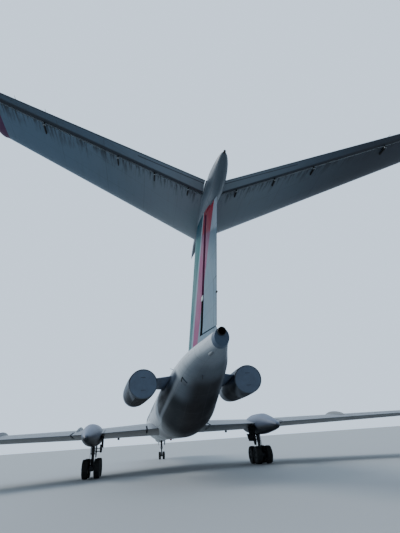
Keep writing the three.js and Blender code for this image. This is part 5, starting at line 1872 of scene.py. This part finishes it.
nose_door_corners = under_body(NOSE_DOOR, NOSE_DOOR_X[1])
hinges = [rod(at(0.287, s - 0.05, z), at(0.287, s + 0.05, z), 0.012, 12)
          for s, z in ((3.65, nose_door_corners[0, 1] - 0.02), (4.50, nose_door_corners[1, 1] - 0.02))]
nose_door_parts = [
    (slab(nose_door_corners, *NOSE_DOOR_X), skin_paint),
    (inner_ribs(nose_door_corners, NOSE_DOOR_X[0] - 0.010, 0.012, 6), skin_paint),
    (joined(*hinges), gear_paint)]
pair("door_at_nose", nose_door_parts, stands_for="nose_door")

# %% [markdown]
# ## Small things on the skin
#
# Aerials, probes, lamps and drain masts stand square on the skin, so each starts from a point of it, the
# direction out of it and the direction around it. They are small, but they break up the outline.

# %% Blades and blisters
def stand(station, angle):
    """A point on the body, the direction out of the skin there, and the direction around it."""
    foot = body(station, angle)
    out = body(station, angle, 1.0) - foot
    return foot, out, np.cross([0, 1, 0], out)


def blade(station, angle, chord, height, rake=0.4, thickness=0.012):
    """An oval section that shrinks towards a raked tip."""
    foot, out, around = stand(station, angle)
    turn = full_turn(20)[:, None]
    rings = []
    for share, size in ((-0.15, 1.0), (0.0, 1.0), (0.6, 0.80), (0.94, 0.62), (1.0, 0.45)):
        middle = foot + height * share * (out - [0, rake, 0])
        forward = np.cos(turn) * [0, chord * size / 2, 0]
        rings.append(middle - forward + np.sin(turn) * around * thickness * size)
    return lofted(np.array(rings))


def blister(station, angle, length, width, height):
    """Half an ellipsoid on the skin."""
    turn = full_turn(28)[:, None]
    rings = []
    for place in np.linspace(-0.995, 1.0, 18):
        size = math.sqrt(max(1 - place**2, 0.0004))
        foot, out, around = stand(station + place * length / 2, angle)
        rings.append(foot + np.cos(turn) * around * width / 2 * size + np.sin(turn) * out * height * size)
    return lofted(np.array(rings))


def probe(station, angle, stalk, length, radius=0.011):
    """A pressure probe: a stalk out of the skin that bends forward."""
    foot, out, around = stand(station, angle)
    end = foot + stalk * out
    knots = [foot - 0.02 * out, foot + stalk * 0.8 * out, end + [0, 0.04, 0], end + [0, length, 0]]
    return pipe(bent(knots, 6), radius, 12)


# %% [markdown]
# Blade aerials and drain masts are raked back. Beside the nose two bent tubes measure the air's
# pressure. A table says where each blade stands.

# %% Aerials, probes and drain masts
BELLY = -math.pi / 2
CROWN = math.pi / 2
# Station, angle, chord and height of each blade
BLADES = ((6.9, CROWN, 0.30, 0.30), (11.6, CROWN, 0.24, 0.24), (19.4, CROWN, 0.30, 0.28),
          (9.8, BELLY, 0.26, 0.22), (12.0, BELLY + 0.30, 0.16, 0.14),
          (30.28, math.radians(-99.5), 0.20, 0.13))
PROBE_STATION = 2.55
SIDE_AERIAL = (28.7, math.radians(163))
aerial_paint = plain("dark_aerial_enamel", "#33373b", 0.55, dirt=0.3)
blades = joined(*(blade(*row) for row in BLADES))
beside = side_angle(2.9, PROBE_STATION)
probes = joined(*(probe(PROBE_STATION, angle, 0.14, 0.24) for angle in (beside, on_port(beside))))
side_aerial = rod(body(*SIDE_AERIAL, -0.02), body(*SIDE_AERIAL, 0.14), 0.009, 10)
aerials = [(blades, aerial_paint), (probes, bare_metal), (side_aerial, burnt_steel)]
piece("aerials", aerials)

# %% [markdown]
# Under the tail are a low blister and a vent under a thin flap. The flap is a patch of the skin lifted by
# 3 cm. Its open edges lie in shadow, so a dark bead of painted shadow runs along each; no mouth is cut
# into the body.

# %% Blister and vent under the tail
VENT = ((29.29, -142.2), (29.15, -127.0), (29.44, -126.8), (29.63, -144.8))
VENT_LIFT = 0.030


def vent_edge(start, end, radius):
    """A dark bead of painted shadow along one side of the vent's flap, between two corners."""
    stations, degrees = (np.linspace(a, b, 8) for a, b in zip(start, end))
    return pipe(body(stations, np.radians(degrees), VENT_LIFT - radius), radius, 10)


# Painted shadow under the flap's open edges
vent_shade = plain("painted_shadow_on_vent_edge", "#2c3c4a", 0.8, dirt=0.2)
low_blister = blister(32.34, math.radians(-119), 0.42, 0.13, 0.045)
vent_flap = four_cornered(VENT, 0.0, VENT_LIFT - 0.006, VENT_LIFT)
bumps = [(low_blister, skin_paint), (vent_flap, skin_paint)]
bumps += [(vent_edge(VENT[0], VENT[3], 0.029), soot_and_shade_black), (vent_edge(VENT[3], VENT[2], 0.016), vent_shade)]
piece("tail_bumps", bumps)

# %% [markdown]
# The beacons and the wing tips' lamps are coloured glass over a bulb: red to port, green to starboard.
# Closed teardrops are enough, as the glass is dark by day. The landing lamps sit behind flat panes.

# %% Lamps
LANDING_STATION = 3.05
# Coloured glass: a dark red and a dark green with sharp highlights
red_lens = plain("red_lamp_glass", "#8f1a1c", 0.12, dirt=0.1, scale=8.0)
green_lens = plain("green_lamp_glass", "#1f6b45", 0.12, dirt=0.1, scale=8.0)
beacons = joined(blister(14.9, CROWN, 0.20, 0.16, 0.11), blister(14.9, BELLY, 0.20, 0.16, 0.09))
piece("beacons", [(beacons, red_lens)])


def tip_lamp():
    """A slim teardrop on the wing tip's front corner."""
    rows = [(-0.14, 0.004), (-0.12, 0.020), (-0.06, 0.034), (0.02, 0.036), (0.12, 0.022), (0.17, 0.003)]
    leading = section(WING, 14.44)[0]
    return turned(rows, at(14.46, leading + 0.24, 2.056), sides=24)


for side, sign in SIDES:
    lens = green_lens if sign > 0 else red_lens
    piece(f"wing_lamp_{side}", sided([(tip_lamp(), lens)], sign))
low_side = side_angle(1.98, LANDING_STATION)
pane = rounded(0.20, 0.20, 0.099)
landing_lamps = [panel(LANDING_STATION, angle, pane, out=0.006) for angle in (on_port(low_side), low_side)]
piece("landing_lamps", [(joined(*landing_lamps), glass)])

# %% [markdown]
# Jacking pads, short turned discs, show where the aeroplane is lifted: under both wings and the nose.

# %% Jacking pads
JACK_PADS = ((3.5, 17.0, 1.78, 1.95), (-3.5, 17.0, 1.78, 1.95), (0.0, 8.2, 1.59, 1.68))


def jack_pad(x, station, low, high):
    """A disc from its low chamfered face up into the skin."""
    rows = [(low, 0.02), (low, 0.064), (low + 0.006, 0.070), (high, 0.070)]
    return turned(rows, at(x, station, 0.0), "z", 32)


pads = [jack_pad(*row) for row in JACK_PADS]
piece("jack_pads", [(joined(*pads), gear_paint)])

# %% [markdown]
# ## Hinges and wicks
#
# Under the stabiliser the elevator's hinge arms show as dark lugs with a bright bolt. Each is a box and a
# rod, placed from the stabiliser's table.

# %% Hinge arms
HINGE_SPANS = (0.80, 1.90, 2.95, 4.70)


def hinge_arm(span):
    """A lug under the stabiliser that ends at the elevator's hinge."""
    leading, chord, middle, _, thickness = section(STABILISER, span)
    hinge = leading + ELEVATOR["share"] * chord
    low = middle - float(half_depth(thickness, ELEVATOR["share"])) - 0.02
    arm = box(at(span - 0.014, hinge - 0.04, low - 0.055), at(span + 0.014, hinge - 0.34, low + 0.06))
    ends = [at(span + x, hinge - 0.055, low - 0.03) for x in (-0.03, 0.03)]
    return arm, rod(*ends, 0.022, 14)


arms = [hinge_arm(span) for span in HINGE_SPANS]
lugs, bolts = joined(*(lug for lug, _ in arms)), joined(*(bolt for _, bolt in arms))
pair("elevator_arms", [(lugs, soot_and_shade_black), (bolts, bare_metal)])

# %% [markdown]
# A pale arm carries the rudder's hinge at mid height, on each side. It lies on the fin's surface, so it
# is worked out from the fin's own table. The lug at the trailing edge drives the tab.

# %% The rudder's arm and its tab
ARM_Z = (5.88, 6.02)
LUG_Z = 5.55


def rudder_arm(sign):
    """A plate on the fin's surface from the bay's front edge to just short of the rudder."""
    z, share = np.meshgrid(np.linspace(*ARM_Z, 4), np.linspace(0.635, 0.683, 4), indexing="ij")
    tables = (FIN_LEADING, FIN_CHORD, FIN_THICKNESS)
    leading, chord, thickness = (np.interp(z, FIN_Z, table) for table in tables)
    skin = at(sign * half_depth(thickness, share), leading + share * chord, z)
    return plate(skin + [sign * 0.004, 0, 0], skin - [sign * 0.020, 0, 0])


rudder_arms = [(rudder_arm(sign), radome_paint) for sign in (-1, 1)]
piece("rudder_arms", rudder_arms)
rear_edge = np.interp(LUG_Z, FIN_Z, FIN_LEADING) + np.interp(LUG_Z, FIN_Z, FIN_CHORD)
tab_lug = rod(at(0.0, rear_edge - 0.02, LUG_Z), at(0.0, rear_edge + 0.07, LUG_Z - 0.01), 0.028, 12)
piece("rudder_lug", [(tab_lug, soot_and_shade_black)], "rudder")

# %% [markdown]
# Wicks on the trailing edges let static charge leave the skin. From afar each is a hair, so a plain rod
# is enough. It rides on the moving surface.

# %% Static wicks
def wicks(table, spans, length=0.11):
    """Thin rods that trail off a surface."""
    rods = []
    for span in spans:
        leading, chord, _, back, _ = section(table, span)
        ends = at(span, leading + chord - 0.02, back), at(span, leading + chord + length, back - 0.01)
        rods.append(rod(*ends, 0.004, 8, 0.001))
    return joined(*rods)


pair("aileron_wicks", [(wicks(WING, (12.4, 13.0, 13.6)), soot_and_shade_black)], "aileron")
pair("elevator_wicks", [(wicks(STABILISER, (4.6, 5.2)), soot_and_shade_black)], "elevator")

# %% [markdown]
# A dark door hangs beside each pod on its inner side, on two short straps. It is made like the leg's.

# %% Doors beside the pods
POD_DOOR = np.array([[20.05, 2.02], [21.45, 2.00], [21.25, 1.52], [20.25, 1.40]])
POD_DOOR_X = (GEAR_X - 0.556, GEAR_X - 0.532)
bay_door = [
    (slab(POD_DOOR, *POD_DOOR_X), door_paint),
    (inner_ribs(POD_DOOR, POD_DOOR_X[1] - 0.002, 0.010, 5), door_paint)]
straps = [rod(at(POD_DOOR_X[1] - 0.004, station, 1.98), at(POD_DOOR_X[1] + 0.09, station, 2.0), 0.014, 12)
          for station in (20.35, 21.15)]
pair("pod_door", bay_door + [(joined(*straps), gear_paint)])

# %% [markdown]
# ## Camera, floor and light
#
# The picture was taken from 1.5 m above the ground, to port of the tail and close behind it, looking up.
# The camera stands where the tail, nacelles and gear line up with it.

# %% The camera
CAMERA = {"x": -2.40, "station": 43.37, "z": 1.52}
AIM = {"yaw": 10.66, "pitch": 24.94, "roll": -4.18}
FOCAL_PIXELS = 369.25
PICTURE_HEIGHT = 533
SENSOR = 36.0


def aimed_camera():
    """A camera turned about its own axes: yaw to starboard, pitch up, then roll."""
    yaw, pitch, roll = (math.radians(AIM[key]) for key in ("yaw", "pitch", "roll"))
    turn = Matrix.Rotation(-yaw, 4, "Z") @ Matrix.Rotation(math.pi / 2 + pitch, 4, "X")
    lens = bpy.data.cameras.new("camera")
    lens.sensor_fit = "VERTICAL"
    lens.sensor_height = SENSOR
    lens.lens = FOCAL_PIXELS / PICTURE_HEIGHT * SENSOR
    lens.clip_end = 2000.0
    camera = bpy.data.objects.new("camera", lens)
    place = Matrix.Translation(at(CAMERA["x"], CAMERA["station"], CAMERA["z"]).tolist())
    camera.matrix_world = place @ turn @ Matrix.Rotation(roll, 4, "Z")
    bpy.context.scene.collection.objects.link(camera)
    bpy.context.scene.camera = camera
    return camera


aimed_camera()

# %% [markdown]
# A parked aeroplane under a cloudy sky is lit from all over the sky, a little more from one side. A pale
# world gives that, and one soft sun lights the port side from above. The floor is a plain pale disc.

# %% Floor and light
FLOOR_RADIUS = 400.0
SKY_COLOUR = "#cfe2f6"
SKY_AHEAD = 1.5
SKY_BEHIND = 0.45
SUN_STRENGTH = 1.8
SUN_WIDTH = math.radians(25)
SUN_TURN = (math.radians(-20), math.radians(-48), 0)


def studio_floor():
    """A flat disc just below the tyres."""
    rim = turned([[-0.5, FLOOR_RADIUS], [0.0, FLOOR_RADIUS]], (0, 0, 0), axis="z", sides=96)
    mesh = bpy.data.meshes.new("floor")
    mesh.from_pydata(rim[0].tolist(), [], rim[1].tolist() + rim[2].tolist())
    material, tree = new_material("pale_floor")
    surface(tree, Base_Color=colour("#a6aaac"), Roughness=0.9)
    mesh.materials.append(material)
    floor = bpy.data.objects.new("floor", mesh)
    bpy.context.scene.collection.objects.link(floor)
    floor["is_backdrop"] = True


def sky():
    """A pale sky. It is brightest ahead of the nose and dimmer behind the camera, so that undersides
    and the tail stand dark before it, as against a real overcast sky."""
    world = bpy.data.worlds.new("sky")
    world.use_nodes = True
    tree = world.node_tree
    tree.nodes.clear()
    towards = add(tree, "TexCoord", out="Object")
    ahead = fade(tree, towards, 1, -0.7, 0.5)
    strength = add(tree, "Math", [ahead, SKY_AHEAD - SKY_BEHIND, SKY_BEHIND], operation="MULTIPLY_ADD")
    glow = add(tree, "Background", {"Color": colour(SKY_COLOUR), "Strength": strength})
    add(tree, "OutputWorld", {"Surface": glow})
    bpy.context.scene.world = world


def soft_sun():
    """A wide sun, high on the port side and a little behind."""
    light = bpy.data.lights.new("soft_sun", "SUN")
    light.energy = SUN_STRENGTH
    light.angle = SUN_WIDTH
    lamp = bpy.data.objects.new("soft_sun", light)
    lamp.rotation_euler = SUN_TURN
    bpy.context.scene.collection.objects.link(lamp)


studio_floor()
sky()
soft_sun()

# %% [markdown]
# ## The finished box

# %% Sizes and the last line
full_box = [list(corner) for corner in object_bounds()]
print("the finished box:", [[round(v, 3) for v in corner] for corner in full_box])
